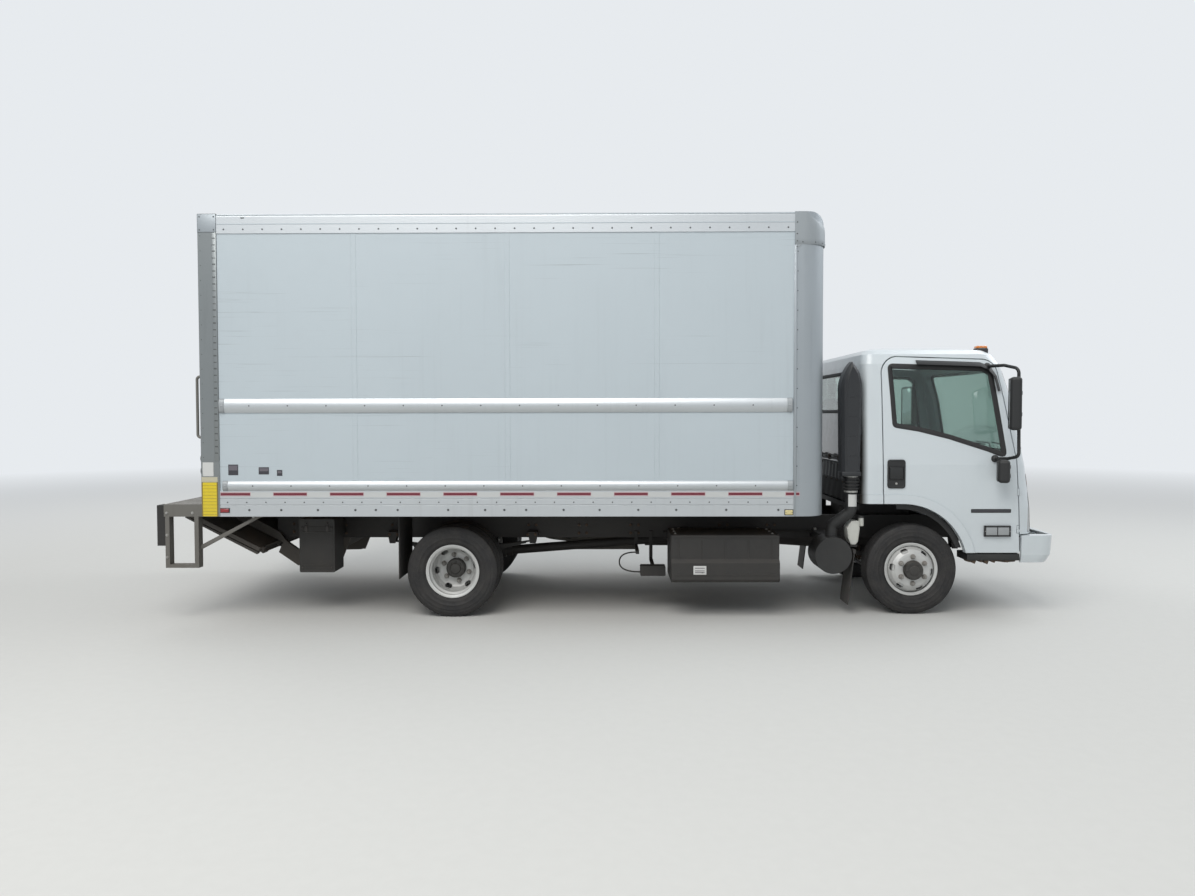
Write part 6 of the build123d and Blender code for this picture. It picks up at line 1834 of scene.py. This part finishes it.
def buildDash(plan):
    bm = bmesh.new()
    x0 = plan["face"]
    near, far = plan["hood"]
    addBlock(bm, (x0 - 22, x0 + 40), (near, far), (1180, 1302), 16.0, 3)
    addBlock(bm, (x0 - 24, x0 - 20), (near + 24, far - 24), (1196, 1284), 4.0, 2, 1)
    for y in plan["dials"]:
        addTurned(bm, [(38, -1), (38, 2), (34, 3), (33, 0.5), (0, 0.5)], at(x0 - 24, y, 1240), (-1, 0, 0), 28, 1)
    for y in plan["vents"]:
        addBlock(bm, (x0 - 8, x0 + 4), (y - 60, y + 60), (1196, 1246), 6.0, 2)
        for z in (1206, 1216, 1226, 1236):
            addBlock(bm, (x0 - 10, x0 - 4), (y - 52, y + 52), (z - 2, z + 2), 0.8, 1, 1)
    addBlock(bm, (x0 - 8, x0 + 4), (-90, 110), (1070, 1170), 6.0, 2, 1)
    for y in (-60, 80):
        addTurned(bm, [(14, -1), (14, 12), (11, 15), (0, 15)], at(x0 - 8, y, 1150), (-1, 0, 0), 18)
    addBlock(bm, (x0 - 6, x0 + 4), (-700, -260), (1060, 1180), 10.0, 3)
    addTube(bm, [at(600, 520, 1330), at(580, 640, 1352), at(574, 700, 1356)], 5, 8, 1)
    addTube(bm, [at(600, 460, 1330), at(580, 340, 1352), at(574, 290, 1356)], 5, 8, 1)
    addTube(bm, smoothPath([at(640, 60, 1010), at(600, 60, 1120), at(560, 66, 1210)], 60), 8, 10)
    addTurned(bm, [(0, -6), (20, 2), (26, 20), (24, 40), (12, 52), (0, 54)], at(562, 66, 1200), (-0.3, 0, 1), 20)
    pieceFrom(bm, "dashboard_fittings", ["dashPlastic", "glossPlastic"], "cab")
    bm = bmesh.new()
    middle = at(*plan["wheel"])
    tilt = radians(plan["tilt"])
    u, v = Vector((cos(tilt), 0, sin(tilt))), Vector((0, 1, 0))
    up = u.cross(v)
    ring = [middle + (u * cos(a) + v * sin(a)) * plan["wheelRadius"] / 1000 for a in turns(48)]
    addTube(bm, ring, 15.2, 12, 0, True)
    for spot in ring[1::2]:
        addRivet(bm, spot - up * 0.0145, -up, 4.0, 2.0, 6)
    addTurned(bm, [(70, -4), (72, 8), (60, 22), (30, 28), (0, 29)], middle, up, 32)
    pieceFrom(bm, "steering_wheel_rim", "glossPlastic", "cab")


buildDash(dashPlan)
print("inside done")

# Studio: pale floor, soft lamps
studio = {
    "floorColor": (0.60, 0.60, 0.58), "floorRadius": 90.0, "skyColor": (0.80, 0.83, 0.86), "skyLight": 0.62,
    "fade": (7.0, 24.0),
    "lamps": [  # place, size, watts, colour
        ((-3.0, -9.0, 11.0), 9.0, 1150.0, (1.0, 0.98, 0.95)),
        ((9.0, 2.0, 9.0), 8.0, 550.0, (0.94, 0.97, 1.0)),
        ((-8.0, 8.0, 9.0), 8.0, 400.0, (1.0, 1.0, 1.0))],
}


def seenDirectly(tree, x, y):
    # 1 for the camera, for mirrors and through glass
    light = addNode(tree, "ShaderNodeLightPath", (x, y)).outputs
    seen = calc(tree, "MAXIMUM", light["Is Camera Ray"], light["Is Glossy Ray"], (x + 200, y))
    return calc(tree, "MAXIMUM", seen, light["Is Transmission Ray"], (x + 400, y))


def buildStudio(plan):
    bpy.ops.mesh.primitive_circle_add(vertices=96, radius=plan["floorRadius"], fill_type="NGON", location=(0, 0, 0))
    floor = bpy.context.object
    floor.name = "studioFloor"
    material, tree, shader = newMaterial("studioFloor")
    speckle = noise(tree, stretched(tree, (-600, 0)), 14.0, 6.0, 0.6, (-400, 0))
    base = plan["floorColor"]
    tint = mixColor(tree, speckle, rgba(base), rgba(base, 0.94), (-200, 0))
    join(tree, tint, shader.inputs["Base Color"])
    setInputs(shader, Roughness=0.85)
    # far out, the floor turns into the backdrop for the camera, mirrors and glass
    far = addNode(tree, "ShaderNodeVectorMath", (-700, 400), operation="LENGTH")
    join(tree, objectPlace(tree, (-900, 400)), far.inputs[0])
    fade = span(tree, far.outputs["Value"], *plan["fade"], 0.0, 1.0, (-500, 400))
    backdrop = addNode(tree, "ShaderNodeEmission", (0, 400))
    setInputs(backdrop, Color=rgba(plan["skyColor"]), Strength=1.0)
    blend = addNode(tree, "ShaderNodeMixShader", (300, 200))
    join(tree, calc(tree, "MULTIPLY", fade, seenDirectly(tree, -900, 700), (-200, 600)), blend.inputs[0])
    join(tree, shader.outputs[0], blend.inputs[1])
    join(tree, backdrop.outputs[0], blend.inputs[2])
    # seen from below, the floor is clear
    side = addNode(tree, "ShaderNodeNewGeometry", (300, 500))
    clear = addNode(tree, "ShaderNodeBsdfTransparent", (300, -100))
    seeThrough = addNode(tree, "ShaderNodeMixShader", (500, 200))
    join(tree, side.outputs["Backfacing"], seeThrough.inputs[0])
    join(tree, blend.outputs[0], seeThrough.inputs[1])
    join(tree, clear.outputs[0], seeThrough.inputs[2])
    join(tree, seeThrough.outputs[0], tree.nodes["Material Output"].inputs["Surface"])
    floor.data.materials.append(material)
    for place, size, watts, tint in plan["lamps"]:
        data = bpy.data.lights.new("studioLamp", "AREA")
        data.size, data.energy, data.color = size, watts, tint
        lamp = linked("studioLamp", data)
        lamp.location = place
        lamp.rotation_euler = (Vector((0, 0, 1.2)) - Vector(place)).to_track_quat("-Z", "Y").to_euler()
    world = bpy.data.worlds.new("studioSky")
    bpy.context.scene.world = world
    world.use_nodes = True
    tree = world.node_tree
    sky = tree.nodes["Background"]
    setInputs(sky, Color=rgba(plan["skyColor"]))
    join(tree, mixValue(tree, seenDirectly(tree, -600, 0), plan["skyLight"], 1.0), sky.inputs["Strength"])


buildStudio(studio)
bpy.context.scene.view_settings.view_transform = "Standard"
print("studio done")
